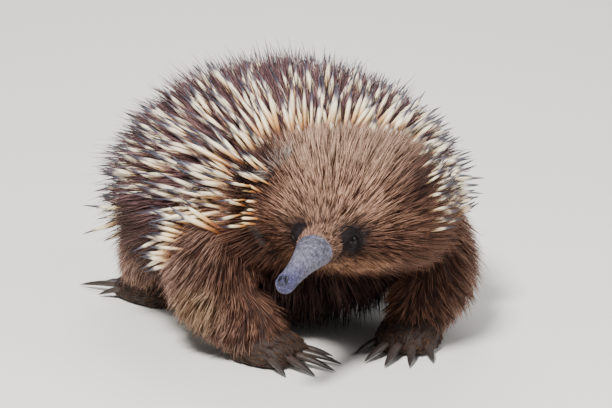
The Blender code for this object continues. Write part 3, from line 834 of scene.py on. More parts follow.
def fur_pieces(name, roots, half_width, rings, seed, clump_size, pull, look, slot, lightness=0.5, bend=0.55,
               droop=0.0, spread=0.16, contrast=0.30, root_painted_shade=0.16):
    """Tufts at those roots, as meshes of no more than MOST_TUFTS.

    pull: how far a tuft leans to its clump's head. bend: how far it lies down by its tip. spread: how much
    tufts turn aside. lightness, contrast: where a tuft lies between its two colours, and how much it varies.
    """
    rng = np.random.default_rng(seed)
    count = len(roots["places"])
    heads, nearest = clumps(roots["places"], clump_size, rng)
    normal, flow = roots["normals"], roots["flow"]
    shade_of_clump = rng.normal(size=len(heads))[nearest]
    turn_of_clump = rng.normal(size=len(heads))[nearest]
    turn = spread * (0.75 * turn_of_clump + 0.5 * rng.normal(size=count))
    way = unit(flow + np.cross(normal, flow) * turn[:, None])
    lift = np.radians(roots["lift"] * (1 + 0.16 * rng.normal(size=count) + 0.10 * turn_of_clump))
    length = roots["length"] * np.clip(1 + 0.18 * rng.normal(size=count), 0.5, 1.5)
    start, end = (normal * np.sin(a)[:, None] + way * np.cos(a)[:, None] for a in (lift, lift * (1 - bend)))
    end = end - np.array((0, 0, 1.0)) * droop + rng.normal(size=(count, 3)) * 0.07
    gather = (roots["places"][heads][nearest] - roots["places"]) * pull
    sunk = np.minimum(0.0010, 0.05 * length)[:, None]
    half = half_width * np.clip(1 + 0.2 * rng.normal(size=count), 0.5, 1.6)
    half_widths = half[:, None] * np.array(TUFT_PROFILES[rings])[None]
    blend = np.clip(lightness + 0.28 * shade_of_clump + contrast * rng.normal(size=count), 0, 1)[:, None]
    lines, tints = np.empty((count, rings + 1, 3)), np.empty((count, rings + 1, 3))
    for k, t in enumerate(TUFT_STATIONS[rings]):
        step = start * t + (end - start) * (t * t / 2)
        lines[:, k] = roots["places"] - normal * sunk + step * length[:, None] + gather * (t**1.4)
        # Painted shade: each tuft is darkened towards its root, where the coat is deepest.
        body = roots["dark"] * (1 - blend * t**0.6) + roots["light"] * (blend * t**0.6)
        tints[:, k] = body * (root_painted_shade + (1 - root_painted_shade) * t**0.9)
    lines[:, :, 2] = np.maximum(lines[:, :, 2], LOWEST_HAIR)
    order = np.argsort(roots["places"][:, 1], kind="stable")
    pieces = math.ceil(count / MOST_TUFTS)
    for part in range(pieces):
        some = order[part * count // pieces : (part + 1) * count // pieces]
        piece = f"{name}_{part + 1}"
        mesh = tuft_mesh(piece, lines[some], half_widths[some], normal[some], roots["patch"][some],
                         tints[some])
        finished(piece, mesh, look, slot)


# Looks.


def look_of(name, roughness):
    """A fresh material, with its nodes, links and shader."""
    made = bpy.data.materials.new(name)
    made.use_nodes = True
    nodes, links = made.node_tree.nodes, made.node_tree.links
    shader = nodes["Principled BSDF"]
    shader.inputs["Roughness"].default_value = roughness
    return made, nodes, links, shader


def noise_over(nodes, links, scale, detail=3.0):
    """Noise laid over the piece's own coordinates, in repeats to the metre."""
    where = nodes.new("ShaderNodeTexCoord")
    noise = nodes.new("ShaderNodeTexNoise")
    noise.inputs["Scale"].default_value = scale
    noise.inputs["Detail"].default_value = detail
    links.new(where.outputs["Object"], noise.inputs["Vector"])
    return noise.outputs["Fac"]


def bumped(nodes, links, shader, height, strength, distance):
    """Raises the look's surface by that height, as bump."""
    bump = nodes.new("ShaderNodeBump")
    bump.inputs["Strength"].default_value = strength
    bump.inputs["Distance"].default_value = distance
    links.new(height, bump.inputs["Height"])
    links.new(bump.outputs["Normal"], shader.inputs["Normal"])


def tinted(nodes, links, shader, pattern, low, high, span_of=(0.3, 0.7)):
    """The mesh's own tint, made darker and lighter by a pattern, from low to high over its span."""
    tint = nodes.new("ShaderNodeAttribute")
    tint.attribute_name = "tint"
    span = nodes.new("ShaderNodeMapRange")
    span.inputs["From Min"].default_value = span_of[0]
    span.inputs["From Max"].default_value = span_of[1]
    span.inputs["To Min"].default_value = low
    span.inputs["To Max"].default_value = high
    links.new(pattern, span.inputs["Value"])
    scaled = nodes.new("ShaderNodeVectorMath")
    scaled.operation = "SCALE"
    links.new(tint.outputs["Color"], scaled.inputs[0])
    links.new(span.outputs["Result"], scaled.inputs["Scale"])
    links.new(scaled.outputs["Vector"], shader.inputs["Base Color"])


def fur_look():
    """Dull hair with a little unevenness from tuft to tuft."""
    made, nodes, links, shader = look_of("fur", 0.6)
    shader.inputs["Specular IOR Level"].default_value = 0.10
    tinted(nodes, links, shader, noise_over(nodes, links, 420.0), 0.82, 1.18)
    return made


def grained_look(name, roughness, scale, low, high, strength, distance, specular=None):
    """A look whose grain makes the mesh's own tint lighter and darker and raises the surface."""
    made, nodes, links, shader = look_of(name, roughness)
    if specular is not None:
        shader.inputs["Specular IOR Level"].default_value = specular
    grain = noise_over(nodes, links, scale, 4.0)
    tinted(nodes, links, shader, grain, low, high)
    bumped(nodes, links, shader, grain, strength, distance)
    return made


def beak_look():
    """Dry, pebbled bare skin with darker mottles."""
    made, nodes, links, shader = look_of("bare_beak", 0.55)
    where = nodes.new("ShaderNodeTexCoord")
    pebbles = nodes.new("ShaderNodeTexVoronoi")
    pebbles.feature = "SMOOTH_F1"
    pebbles.inputs["Scale"].default_value = 950.0
    links.new(where.outputs["Object"], pebbles.inputs["Vector"])
    mottles = noise_over(nodes, links, 420.0, 5.0)
    spots = nodes.new("ShaderNodeMath")
    spots.operation = "MULTIPLY_ADD"
    spots.inputs[1].default_value = 0.45
    links.new(pebbles.outputs["Distance"], spots.inputs[0])
    links.new(mottles, spots.inputs[2])
    tinted(nodes, links, shader, spots.outputs["Value"], 0.46, 1.48, (0.52, 0.84))
    total = nodes.new("ShaderNodeMath")
    total.operation = "ADD"
    links.new(pebbles.outputs["Distance"], total.inputs[0])
    links.new(mottles, total.inputs[1])
    bumped(nodes, links, shader, total.outputs["Value"], 1.0, 0.0012)
    return made


def eye_look():
    """The eye's wet, dark gloss."""
    made, nodes, links, shader = look_of("wet_eye", 0.05)
    tinted(nodes, links, shader, noise_over(nodes, links, 900.0), 0.8, 1.2)
    shader.inputs["IOR"].default_value = 1.36
    shader.inputs["Specular IOR Level"].default_value = 0.3
    return made


def floor_look():
    """The studio floor's plain matt."""
    made, _, _, shader = look_of("pale_floor", 0.9)
    shader.inputs["Base Color"].default_value = (*paint(226, 222, 216), 1.0)
    return made


# Spines.


def band_colours(shares):
    """The spine's colour at each of those shares of its length."""
    at = [low for low, _ in SPINE_BANDS]
    colours = np.array([paint(*colour) for _, colour in SPINE_BANDS])
    return np.stack([np.interp(shares, at, colours[:, k]) for k in range(3)], -1)


def spine_mesh(name, roots, ways, lengths, radii, patches, shades, offsets):
    """One mesh of closed, round spines, thickest past the middle and drawn out to a dark tip."""
    sides = SPINE_SIDES
    count, rings = len(roots), len(SPINE_PROFILE)
    reference = np.where(np.abs(ways[:, 2:3]) > 0.8, np.array((0, 1.0, 0)), np.array((0, 0, 1.0)))
    across = unit(np.cross(ways, reference))
    out = np.cross(across, ways)
    corners, tints = np.empty((count, rings * sides + 1, 3)), np.empty((count, rings * sides + 1, 3))
    for r, (share, thickness) in enumerate(SPINE_PROFILE):
        centre = roots + ways * (lengths * share)[:, None]
        for k in range(sides):
            angle = 2 * math.pi * k / sides
            offset = across * math.cos(angle) + out * math.sin(angle)
            corners[:, r * sides + k] = centre + offset * (radii * thickness)[:, None]
        tints[:, r * sides : (r + 1) * sides] = (band_colours(share + offsets) * shades)[:, None, :]
    corners[:, -1] = roots + ways * lengths[:, None]
    tints[:, -1] = band_colours(1.0 + offsets) * shades
    marks = [(k / (sides - 1), share * 3) for share, _ in SPINE_PROFILE for k in range(sides)] + [(0.5, 3.0)]
    return strewn_mesh(name, corners, pointed_faces(rings, sides), marks, patches, tints)


def even_directions(count):
    """Unit directions spread evenly over a sphere."""
    golden = math.pi * (3 - math.sqrt(5))
    made = []
    for i in range(count):
        z = 1 - 2 * (i + 0.5) / count
        across = math.sqrt(1 - z * z)
        made.append(Vector((across * math.cos(golden * i), across * math.sin(golden * i), z)))
    return made


def cape_places(fields):
    """True at each point of the skin where the small spines of neck, shoulders and crown's edge grow."""
    places, normals, region = fields["places"], fields["normals"], fields["region"]
    point, heading, left = head_axis(EAR_ALONG)
    from_point = places - np.array(point)
    aside, ahead = from_point @ np.array(left), from_point @ np.array(heading)
    reach = np.linalg.norm(places - np.array(MUZZLE), axis=1)
    high = places[:, 2]
    grown = (region == 1) | (region == 3) | ((region == 0) & (places[:, 1] < -0.030))
    sides = (np.abs(aside) > 0.040) & (reach > np.where(aside > 0, 0.062, 0.054))
    sides &= high > np.where(aside > 0, 0.070, 0.057)
    crown = (high > 0.112) & (ahead < -0.008)
    throat = (normals[:, 1] < -0.50) & (high < 0.084) & (region != 1)
    throat |= (np.abs(places[:, 0]) < 0.060) & (high < 0.074)
    throat |= (region == 1) & (high < 0.082)
    throat |= (places[:, 0] > 0.088) & (high < 0.084)
    return grown & (sides | crown) & ~throat & (places[:, 1] < 0.004) & (normals[:, 2] > -0.30)


def cape_spines(skin, fields, head):
    """The small spines that lie flat over the neck, the shoulders and the crown's edge."""
    rng = np.random.default_rng(SEED + 9)
    roots = scattered(skin, fields, cape_places(fields).astype(float), CAPE_TRIES, SEED + 10)
    rows, taken = [], []
    for i, place in enumerate(roots["places"]):
        gap = CROWN_GAP if place[2] > 0.118 else CAPE_GAP
        if taken and np.min(np.linalg.norm(np.array(taken) - place, axis=1)) < gap * 1:
            continue
        taken.append(place)
        chance = rng.uniform(-1, 1, size=6)
        normal, place = Vector(roots["normals"][i]), Vector(place)
        flow = (place - MUZZLE).normalized() + Vector((0, 0.20, -0.05))
        flow = (flow - normal * flow.dot(normal)).normalized()
        lean = CAPE_LEAN + 0.10 * chance[0]
        lie = flow * math.cos(lean) + normal * math.sin(lean) + normal.cross(flow) * (0.20 * chance[1])
        far = max(0.0, min(1.0, ((place - MUZZLE).length - 0.056) / 0.040))
        length = (0.0225 + (0.008 if place.x < 0 else 0.004) * far) * (1 + 0.14 * chance[2])
        into_head = head.find_nearest(place)[3] > 0.005 and head.ray_cast(place, lie, length)[0] is not None
        if into_head or abs((place + lie * length).x) > SPINES_OUT:
            continue
        radius = (0.00090 + 0.00040 * far) * (1 + 0.16 * chance[3])
        warm = 0.92 + 0.08 * chance[4] - (0.16 if chance[3] < -0.5 else 0.0)
        rows.append((place - normal * 0.001, lie.normalized(), length, radius, roots["patch"][i],
                     (warm, 0.95 * warm, 0.86 * warm), 0.06 * chance[5] + 0.07))
    return rows


def trunk_spines(head, sheet_of, skin_tree):
    """The long spines of back and flanks, each from the skin out to where it ends past the coat's core."""
    rng = np.random.default_rng(SEED + 5)
    limbs = [limb_form(rows, side, 0.0) for rows in (FORELEG, HINDLEG) for side in (1, -1)]
    core = BVHTree.FromBMesh(joined([trunk_form(0.0), *limbs]))
    fewer = 1
    aims = [(SPINE_MIDDLE, way) for way in even_directions(SPINE_PLACES // fewer)]
    aims += [(LOW_SPINE_MIDDLE, way) for way in even_directions(LOW_SPINE_PLACES // fewer)]
    rows = []
    for middle, way in aims:
        aim = Vector([part * wide for part, wide in zip(way, SPINE_SPREAD)]).normalized()
        direction = aim + Vector(rng.normal(size=3) * 0.025)
        direction.normalize()
        point, normal, _, _ = core.ray_cast(middle + direction * 0.5, -direction)
        chance = rng.uniform(-1, 1, size=8)
        if point is None or point.z < SPINY_LOW + 0.005 * chance[0] or abs(point.x) > SPINY_WIDE:
            continue
        low_flank = 0.050 < point.z < 0.080 and abs(point.x) >= 0.060 and point.y >= 0.0
        if middle is LOW_SPINE_MIDDLE and not low_flank:
            continue
        throat = (normal.y < -0.42 and point.z < 0.080) or (normal.y < -0.70 and point.z < 0.098)
        if throat or normal.z < -0.25:
            continue
        backness = max(0.0, min(1.0, (point.y + 0.05) / 0.12))
        if chance[6] * 0.5 + 0.5 > 1.0 - 0.20 * backness - 0.62 * backness * max(0.0, normal.z):
            continue
        flow = (point - FACE).normalized() - UP * 0.22
        flow = (flow - normal * flow.dot(normal)).normalized()
        lean = SPINE_LEAN + (CROWN_LEAN - SPINE_LEAN) * max(0.0, normal.z) + 0.14 * chance[1]
        lie = flow * math.cos(lean) + normal * math.sin(lean) + normal.cross(flow) * (0.22 * chance[2])
        lie.normalize()
        reach = (SPINE_SHORT + (SPINE_LONG - SPINE_SHORT) * backness) * (1 + 0.14 * chance[3])
        tip = point + lie * reach
        too_wide = abs(tip.x) > SPINES_OUT + 0.10 * max(0.0, tip.y)
        if too_wide or head.ray_cast(point, lie, reach)[0] is not None:
            continue
        hit, _, face, _ = skin_tree.ray_cast(point + lie * 0.002, -lie, 0.05)
        root = point - lie * ROOT_DEPTH if hit is None else hit
        if face is None:
            _, _, face, _ = skin_tree.find_nearest(point)
        warm = 0.92 + 0.10 * chance[5]
        dark = 0.22 if chance[7] > 0.80 else 0.0
        radius = SPINE_RADIUS * (0.62 if dark else 1.0) * (1 + 0.18 * chance[4])
        rows.append((root, (tip - root).normalized(), (tip - root).length, radius, sheet_of[face],
                     (warm, 0.985 * warm, 0.95 * warm), 0.07 * chance[6] + dark + 0.06 * backness))
    return rows


def spines(skin, fields, sheet_of, skin_tree):
    """All of the spines, rooted in the skin, in pieces of no more than MOST_SPINES."""
    head = BVHTree.FromBMesh(head_form(0.0))
    rows = cape_spines(skin, fields, head) + trunk_spines(head, sheet_of, skin_tree)
    rows.sort(key=lambda row: row[0][1])
    look = grained_look("spine_horn", 0.34, 260.0, 0.88, 1.1, 0.25, 0.0003)
    pieces = math.ceil(len(rows) / MOST_SPINES)
    for part in range(pieces):
        some = rows[part * len(rows) // pieces : (part + 1) * len(rows) // pieces]
        name = f"spines_{part + 1}"
        finished(name, spine_mesh(name, *(np.array(column) for column in zip(*some))), look, "spiny_coat")


# Beak, eyes, ears and claws.


def fold(value, middle, width):
    """A smooth rise to 1 at the middle, about that wide to each side."""
    return math.exp(-(((value - middle) / width) ** 2))


def creased(along, angle):
    """How deep the folds across the beak are there, from 0 to about 1."""
    total = 0.0
    for middle, width, depth in BEAK_FOLDS:
        wobble = 0.0007 * math.sin(3 * angle + middle * 900)
        total += depth * fold(along + wobble, middle, width) * (0.35 + 0.65 * max(0.0, math.sin(angle)))
    return total


def beak_tip_frame():
    """The middle of the beak's tip, with the ways forward, left and up there."""
    tip = beak_point(*BEAK_TIP)
    forward = (tip - beak_point(*BEAK_WAIST)).normalized()
    left = Vector((-forward.y, forward.x, 0.0)).normalized()
    up = left.cross(forward).normalized()
    return tip, forward, left, up if up.z > 0 else -up


def beak():
    """The bare beak: finely folded at its root, with a bulbous tip, two nostrils and a small mouth."""
    tip, forward, left, up = beak_tip_frame()
    nostrils = [tip - forward * 0.0016 + up * 0.0036 + left * (NOSTRIL_SPREAD * s) for s in (1, -1)]

    def spot(share, angle):
        along, half_width, half_height, height = row_at(BEAK, share)
        centre = beak_point(along, height)
        ahead = row_at(BEAK, share + 0.03)
        behind = row_at(BEAK, share - 0.03)
        way = (beak_point(ahead[0], ahead[3]) - beak_point(behind[0], behind[3])).normalized()
        grow = -0.0008 * creased(along, angle)
        grow += 0.00009 * math.sin(along * 2600 + 1.4 * math.sin(2 * angle))
        place = on_ring(centre, way, half_width + grow, half_height + grow, half_height + grow, angle, 2.0)
        for nostril in nostrils:
            away = place - nostril
            spread = math.hypot(away.dot(left) / 0.0011, away.dot(forward) / 0.0019)
            if away.dot(up) > -0.003:
                place = place - up * (NOSTRIL_DEPTH * math.exp(-(spread**4)))
                place = place + up * (0.00035 * fold(spread, 1.7, 0.4))
        away = place - tip
        if away.dot(forward) > -0.010:
            slit = fold(away.dot(up), -0.0012, 0.00035)
            inward = (centre - place) - way * (centre - place).dot(way)
            place = place + inward.normalized() * (MOUTH_DEPTH * slit)
        return place

    mesh = mesh_of(rolled(*BEAK_MESH, spot), "beak_skin")
    colours = []
    grey, blue, dark = (np.array(paint(*c)) for c in ((88, 87, 104), (56, 55, 92), (5, 4, 6)))
    root = beak_point(BEAK_ROOT, BEAK_ROOT_HEIGHT)
    span = (tip - root).dot(beak_heading())
    for vertex in mesh.vertices:
        share = (vertex.co - root).dot(beak_heading()) / span
        mix = min(1.0, max(0.0, (share - 0.62) / 0.34))
        colour = grey * (1 - mix) + blue * mix
        along = BEAK_ROOT + share * span
        height = float(beak_section(along)[2])
        angle = math.atan2(vertex.co.z - height, (vertex.co - root).dot(left))
        # Painted shade: the colour darkens in the folds across the beak.
        colour = colour * (1 - 0.75 * min(1.0, creased(along, math.pi - angle)))
        under_fur = min(1.0, max(0.0, (0.0785 - along) / 0.0012))
        colour = colour * (1 - under_fur) + np.array(paint(92, 66, 56)) * under_fur
        # Painted shade: each nostril's hollow is painted near black.
        for nostril in nostrils:
            away = vertex.co - nostril
            spread = math.hypot(away.dot(left) / 0.0016, away.dot(forward) / 0.0026)
            if away.dot(up) > -0.004:
                painted_nostril_shade = math.exp(-(spread**4))
                colour = colour * (1 - painted_nostril_shade) + dark * painted_nostril_shade
        colours.append(colour)
    set_tint(mesh, np.array(colours))
    return finished("beak_skin", mesh, beak_look(), "beak_skin", "beak")


def eyelids(label, centre, outward, skin_tree, look):
    """A dish of bare, wrinkled skin with a heavy upper lid, from the eyeball out to under the fur."""
    ahead = UP.cross(outward).normalized()
    above = outward.cross(ahead).normalized()

    def spot(share, angle):
        c, s = math.cos(angle), math.sin(angle)
        inner = LID_GAP * math.hypot(c * 1.14, s * (0.80 if s > 0 else 0.95))
        radius = inner + (EYE_PATCH - inner) * share
        flat = centre + ahead * (c * radius) + above * (s * radius)
        hit, _, _, _ = skin_tree.ray_cast(flat + outward * 0.02, -outward)
        ground = (hit - flat).dot(outward) if hit else -0.002
        on_ball = math.sqrt(max(0.0, (EYE_RADIUS + 0.0002) ** 2 - min(radius, EYE_RADIUS) ** 2))
        blend = max(0.0, min(1.0, (radius - 0.0040) / 0.0036))
        blend = blend * blend * (3 - 2 * blend)
        height = on_ball * (1 - blend) + (ground + 0.0003) * blend
        lid = fold(radius, 0.0039, 0.0011) * (0.00085 if s > -0.2 else 0.0005)
        wander = 1.3 * math.sin(3 * angle) + 0.5 * math.sin(7 * angle)
        creases = 0.00036 * math.sin(radius * 4300 + wander) * (1 - fold(share, 0.0, 0.12))
        edge = -0.0012 * max(0.0, share - 0.9) / 0.1
        tuck = -0.0010 * max(0.0, 0.06 - share) / 0.06
        return flat + outward * (height + lid + creases + edge + tuck)

    bm = bmesh.new()
    bmesh.ops.create_grid(bm, x_segments=LID_GRID[0], y_segments=LID_GRID[1], size=1.0)
    for vertex in bm.verts:
        vertex.co = spot((vertex.co.y + 1) / 2, math.pi * (vertex.co.x + 1))
    bmesh.ops.remove_doubles(bm, verts=bm.verts, dist=1e-6)
    bmesh.ops.recalc_face_normals(bm, faces=bm.faces)
    bm.normal_update()
    if sum(face.normal.dot(outward) for face in bm.faces) < 0:
        bmesh.ops.reverse_faces(bm, faces=bm.faces)
    mesh = mesh_of(bm, f"eyelids_{label}")
    colours = []
    for vertex in mesh.vertices:
        away = vertex.co - centre
        # Painted shade: the lids are painted darker still where they tuck in against the eyeball.
        near = fold((away - outward * away.dot(outward)).length, 0.0032, 0.0012)
        colours.append(np.array(paint(22, 13, 16)) * (1 - near) + np.array(paint(7, 4, 6)) * near)
    set_tint(mesh, np.array(colours))
    finished(f"eyelids_{label}", mesh, look, "beak_skin")


def eyes(skin_tree):
    """Each eye's wet ball, and the bare lids round it."""
    wet, bare = eye_look(), grained_look("eyelid_skin", 0.62, 1100.0, 0.55, 1.5, 1.0, 0.0008, 0.16)
    for side, label in ((1, "left"), (-1, "right")):
        centre, outward = eye_centre(side), eye_outward(side)
        turn = outward.to_track_quat("Z", "Y").to_matrix().to_4x4()
        bm = bmesh.new()
        bmesh.ops.create_uvsphere(bm, u_segments=40, v_segments=28, radius=EYE_RADIUS)
        bmesh.ops.transform(bm, matrix=Matrix.Translation(centre) @ turn, verts=bm.verts)
        mesh = mesh_of(bm, f"eyeball_{label}")
        colours = []
        for vertex in mesh.vertices:
            facing = (vertex.co - centre).normalized().dot(outward)
            colours.append(paint(5, 4, 6) if facing > 0.90 else paint(26, 16, 14))
        set_tint(mesh, np.array(colours))
        finished(f"eyeball_{label}", mesh, wet, "eye", f"eye_{label}")
        eyelids(label, centre, outward, skin_tree, bare)


def ear_places(skin_tree):
    """(label, middle of the ear on the skin, the skin's normal there) of each ear."""
    made = []
    point, _, left = head_axis(EAR_ALONG)
    for side, label in ((1, "left"), (-1, "right")):
        start = point + UP * EAR_HEIGHT
        outside = start + left * (side * EAR_SIGHT[0]) + UP * EAR_SIGHT[1]
        hit, normal, _, _ = skin_tree.ray_cast(outside, (start - outside).normalized())
        made.append((label, hit, normal))
    return made


def ear_cups(places):
    """A low, slit cup on each side of the back of the head."""
    look = grained_look("ear_skin", 0.75, 800.0, 0.8, 1.15, 0.5, 0.0004, 0.12)
    for label, hit, normal in places:
        turn = normal.to_track_quat("Z", "Y").to_matrix().to_4x4()
        bm = bmesh.new()
        bmesh.ops.create_uvsphere(bm, u_segments=36, v_segments=24, radius=1.0)
        for vertex in bm.verts:
            x, y, z = vertex.co
            rise = z * EAR_WIDE * 0.7
            if z > 0:
                rise -= EAR_HOLLOW * math.exp(-((x / 0.40) ** 2 + (y / 0.66) ** 2))
            vertex.co = Vector((x * EAR_WIDE, y * EAR_TALL, rise))
        bmesh.ops.transform(bm, matrix=Matrix.Translation(hit - normal * EAR_SUNK) @ turn, verts=bm.verts)
        mesh = mesh_of(bm, f"ear_cup_{label}")
        colours = []
        for vertex in mesh.vertices:
            local = turn.inverted() @ (vertex.co - hit)
            # Painted shade: the ear's slit is painted near black, deepest at its middle.
            painted_hollow_shade = math.exp(-((local.x / 0.0022) ** 2 + (local.y / 0.0058) ** 2))
            colours.append(np.array(paint(40, 25, 23)) * (1 - 0.85 * painted_hollow_shade))
        set_tint(mesh, np.array(colours))
        finished(f"ear_cup_{label}", mesh, look, "face_fur", f"ear_{label}")


def claws():
    """Curved horn claws, one object for each foot."""
    look = grained_look("claw_horn", 0.42, 420.0, 0.75, 1.2, 0.35, 0.0004)
    for prefix, shape, lengths in (("fore", FORE_FOOT, FORE_CLAWS), ("hind", HIND_FOOT, HIND_CLAWS)):
        for side, label in ((1, "left"), (-1, "right")):
            heel, heading = foot_frame(shape, side)
            across = Vector((-heading.y, heading.x, 0.0)) * side
            forms, spans = [], []
            for toe, length in enumerate(lengths):
                share = toe / (len(lengths) - 1) * 2 - 1
                fan = math.radians(CLAW_SPREAD * 0.5 * share) * side
                way = Matrix.Rotation(fan, 3, "Z") @ heading
                reach = shape["reach"] * (0.86 - 0.22 * share * share)
                aside = across * (share * shape["half_width"] * 0.70)
                root = heel + heading * reach + aside + UP * CLAW_ROOT_HEIGHT
                root = root - way * CLAW_ROOTED
                full = length + CLAW_EXTRA

                def spot(t, angle, root=root, way=way, full=full):
                    drop = root.z - CLAW_TIP_HEIGHT
                    centre = root + way * (full * t) - UP * (drop * (0.15 * t + 0.85 * t * t))
                    forward = (way * full - UP * (drop * (0.15 + 1.7 * t))).normalized()
                    half = CLAW_THICKNESS * max(0.02, (0.90 + 0.25 * t) * (1 - t**2.2) ** 0.9)
                    return on_ring(centre, forward, half, half * 0.8, half * 0.55, angle, 2.3)

                forms.append(rolled(*CLAW_MESH, spot))
                spans.append((root, way, full))
            bm = joined(forms)
            bmesh.ops.recalc_face_normals(bm, faces=bm.faces)
            mesh = mesh_of(bm, f"claws_{prefix}foot_{label}")
            colours = []
            for vertex in mesh.vertices:
                root, way, full = min(spans, key=lambda s, v=vertex: (v.co - s[0]).cross(s[1]).length)
                t = max(0.0, min(1.0, (vertex.co - root).dot(way) / full))
                colours.append(np.array(paint(66, 54, 48)) * (1 - t) + np.array(paint(34, 30, 30)) * t)
            set_tint(mesh, np.array(colours))
            stood = [f"{prefix}foot_{label}_claw_{toe + 1}" for toe in range(len(lengths))]
            finished(f"claws_{prefix}foot_{label}", mesh, look, "claw", *stood)


# The whole coat, and the studio round the animal.


def near_any(places, centres, distance):
    """True where a place is within that distance of any of the centres."""
    hit = np.zeros(len(places), bool)
    for centre in centres:
        hit |= np.linalg.norm(places - np.array(centre), axis=1) < distance
    return hit


def ear_hair_roots(skin, fields, ear_spots):
    """Roots of the pale hair that whorls out round each ear."""
    rng = np.random.default_rng(41)
    reach = near_any(fields["places"], [hit for _, hit, _ in ear_spots], 0.0085)
    roots = scattered(skin, fields, reach.astype(float), EAR_HAIRS, 42)
    for _, hit, _ in ear_spots:
        near = near_any(roots["places"], [hit], 0.012)
        outward = unit(roots["places"][near] - np.array(hit))
        away = outward * 0.8 + roots["flow"][near] * 1.2
        side = roots["normals"][near]
        roots["flow"][near] = unit(away - side * dot(away, side))
    count = len(roots["places"])
    roots["length"] = np.full(count, 0.0110) * (1 + 0.18 * rng.normal(size=count))
    roots["lift"] = np.full(count, 27.0)
    roots["dark"], roots["light"] = (np.tile(paint(*colour), (count, 1)) for colour in FUR_SHADES["ear"])
    return roots


def beak_section(along):
    """The beak's half width, half height and the height of its middle, that far along."""
    table = np.array(BEAK)
    return [np.interp(along, table[:, 0], table[:, k]) for k in (1, 2, 3)]


def inside_beak(places):
    """True where a place lies within the beak's own form."""
    root = np.array(beak_point(BEAK_ROOT, 0.0))
    forward = np.array(beak_heading())
    along = BEAK_ROOT + (places - root) @ forward
    aside = (places - root) @ np.array((-forward[1], forward[0], 0.0))
    wide, tall, height = beak_section(along)
    rise = places[:, 2] - height
    return (along > 0.0595) & (np.hypot(aside / (wide + 0.0004), rise / (tall + 0.0004)) < 1)


def bridge_roots(skin_tree, sheet_of):
    """Roots of the short fur that reaches from the face out over the beak's root."""
    rng = np.random.default_rng(51)
    forward = beak_heading()
    left = Vector((-forward.y, forward.x, 0.0))
    rows = {key: [] for key in ("places", "normals", "flow", "length", "lift", "dark", "light", "patch")}
    for _ in range(BRIDGE_HAIRS):
        angle = rng.uniform(0, 2 * math.pi)
        furthest = 0.0768 + 0.0022 * math.sin(angle) + 0.0005 * rng.normal()
        along = rng.uniform(0.0600, furthest)
        wide, tall, height = beak_section(along)
        normal = (left * math.cos(angle) + UP * math.sin(angle)).normalized()
        place = beak_point(along, height) + left * (math.cos(angle) * wide) + UP * (math.sin(angle) * tall)
        _, _, face, _ = skin_tree.find_nearest(place)
        rows["places"].append(place)
        rows["normals"].append(normal)
        rows["flow"].append(-forward)
        under = 0.5 - 0.5 * math.sin(angle)
        rim = (along - 0.0600) / 0.0168
        rows["length"].append((0.0088 - 0.0054 * rim) * (1 - 0.45 * under))
        rows["lift"].append((30 + 20 * rim) * (1 - 0.55 * under))
        # Painted shade: the fur is painted darker towards the underside of the beak's root.
        rows["dark"].append(paint(66 - 24 * under, 38 - 14 * under, 29 - 10 * under))
        rows["light"].append(paint(250 - 90 * under, 198 - 76 * under, 168 - 66 * under))
        rows["patch"].append(sheet_of[face])
    return {key: np.array(values, float) for key, values in rows.items()}


def coat(skin, fields, ear_spots, bridge):
    """All of the fur, region by region.

    Each piece gives its tufts' half width, rings, seed, roots to a clump and pull towards it.
    """
    look = fur_look()
    thin = 1.0

    def roots_of(name, count, seed):
        """Roots spread over one region."""
        weights = fields["density"] * (fields["region"] == REGIONS.index(name))
        return scattered(skin, fields, weights, int(count * thin), seed)

    face = roots_of("head", 42000, 21)
    bare = [eye_centre(side) + eye_outward(side) * 0.001 for side in (1, -1)]
    ends = face["places"] + face["flow"] * face["length"][:, None]
    covering = near_any(face["places"], bare, BARE_OF_ROOTS) | near_any(ends, bare, BARE_OF_TIPS)
    face = kept(face, ~covering & ~inside_beak(face["places"]))
    strands = np.random.default_rng(38).uniform(size=len(face["places"])) < 0.26
    over, face = kept(face, strands), kept(face, ~strands)
    over["length"] = over["length"] * 1.18
    over["lift"] = over["lift"] + 2.5
    fur_pieces("fur_face", face, 0.00021, 2, 31, 9, 0.50, look, "face_fur",
               lightness=0.25, spread=0.12, bend=0.35, contrast=0.26, root_painted_shade=0.12)
    fur_pieces("fur_strands", over, 0.00027, 2, 39, 3, 0.35, look, "face_fur",
               lightness=0.95, spread=0.10, bend=0.40)
    fur_pieces("fur_bridge", bridge, 0.00020, 2, 37, 4, 0.3, look, "face_fur",
               lightness=0.52, bend=0.5, contrast=0.48, root_painted_shade=0.45)
    fur_pieces("fur_body", roots_of("trunk", 34000, 22), 0.00034, 3, 32, 10, 0.50, look, "spiny_coat",
               lightness=0.42, droop=0.10, bend=0.35)
    fur_pieces("fur_legs", roots_of("leg", 14500, 23), 0.00028, 3, 33, 7, 0.45, look, "leg_fur",
               lightness=0.42, droop=0.05, contrast=0.42)
    feet = roots_of("foot", 7000, 24)
    feet = kept(feet, feet["places"][:, 2] > 0.0025)
    fur_pieces("fur_feet", feet, 0.00026, 2, 34, 6, 0.4, look, "leg_fur", lightness=0.42)
    fur_pieces("fur_ears", ear_hair_roots(skin, fields, ear_spots), 0.00019, 3, 36, 7, 0.35, look, "face_fur",
               lightness=0.60, bend=0.7)
    fur_pieces("fur_tail", roots_of("tail", 3000, 25), 0.00034, 3, 35, 8, 0.5, look, "spiny_coat",
               lightness=0.42)


def light_panel(name, place, target, size, power, colour):
    """A round, soft light at that place, aimed at the target."""
    lamp = bpy.data.lights.new(name, "AREA")
    lamp.shape = "DISK"
    lamp.size = size
    lamp.energy = power
    lamp.color = colour
    made = bpy.data.objects.new(name, lamp)
    made.location = place
    made.rotation_mode = "QUATERNION"
    made.rotation_quaternion = (Vector(target) - Vector(place)).to_track_quat("-Z", "Y")
    bpy.context.scene.collection.objects.link(made)


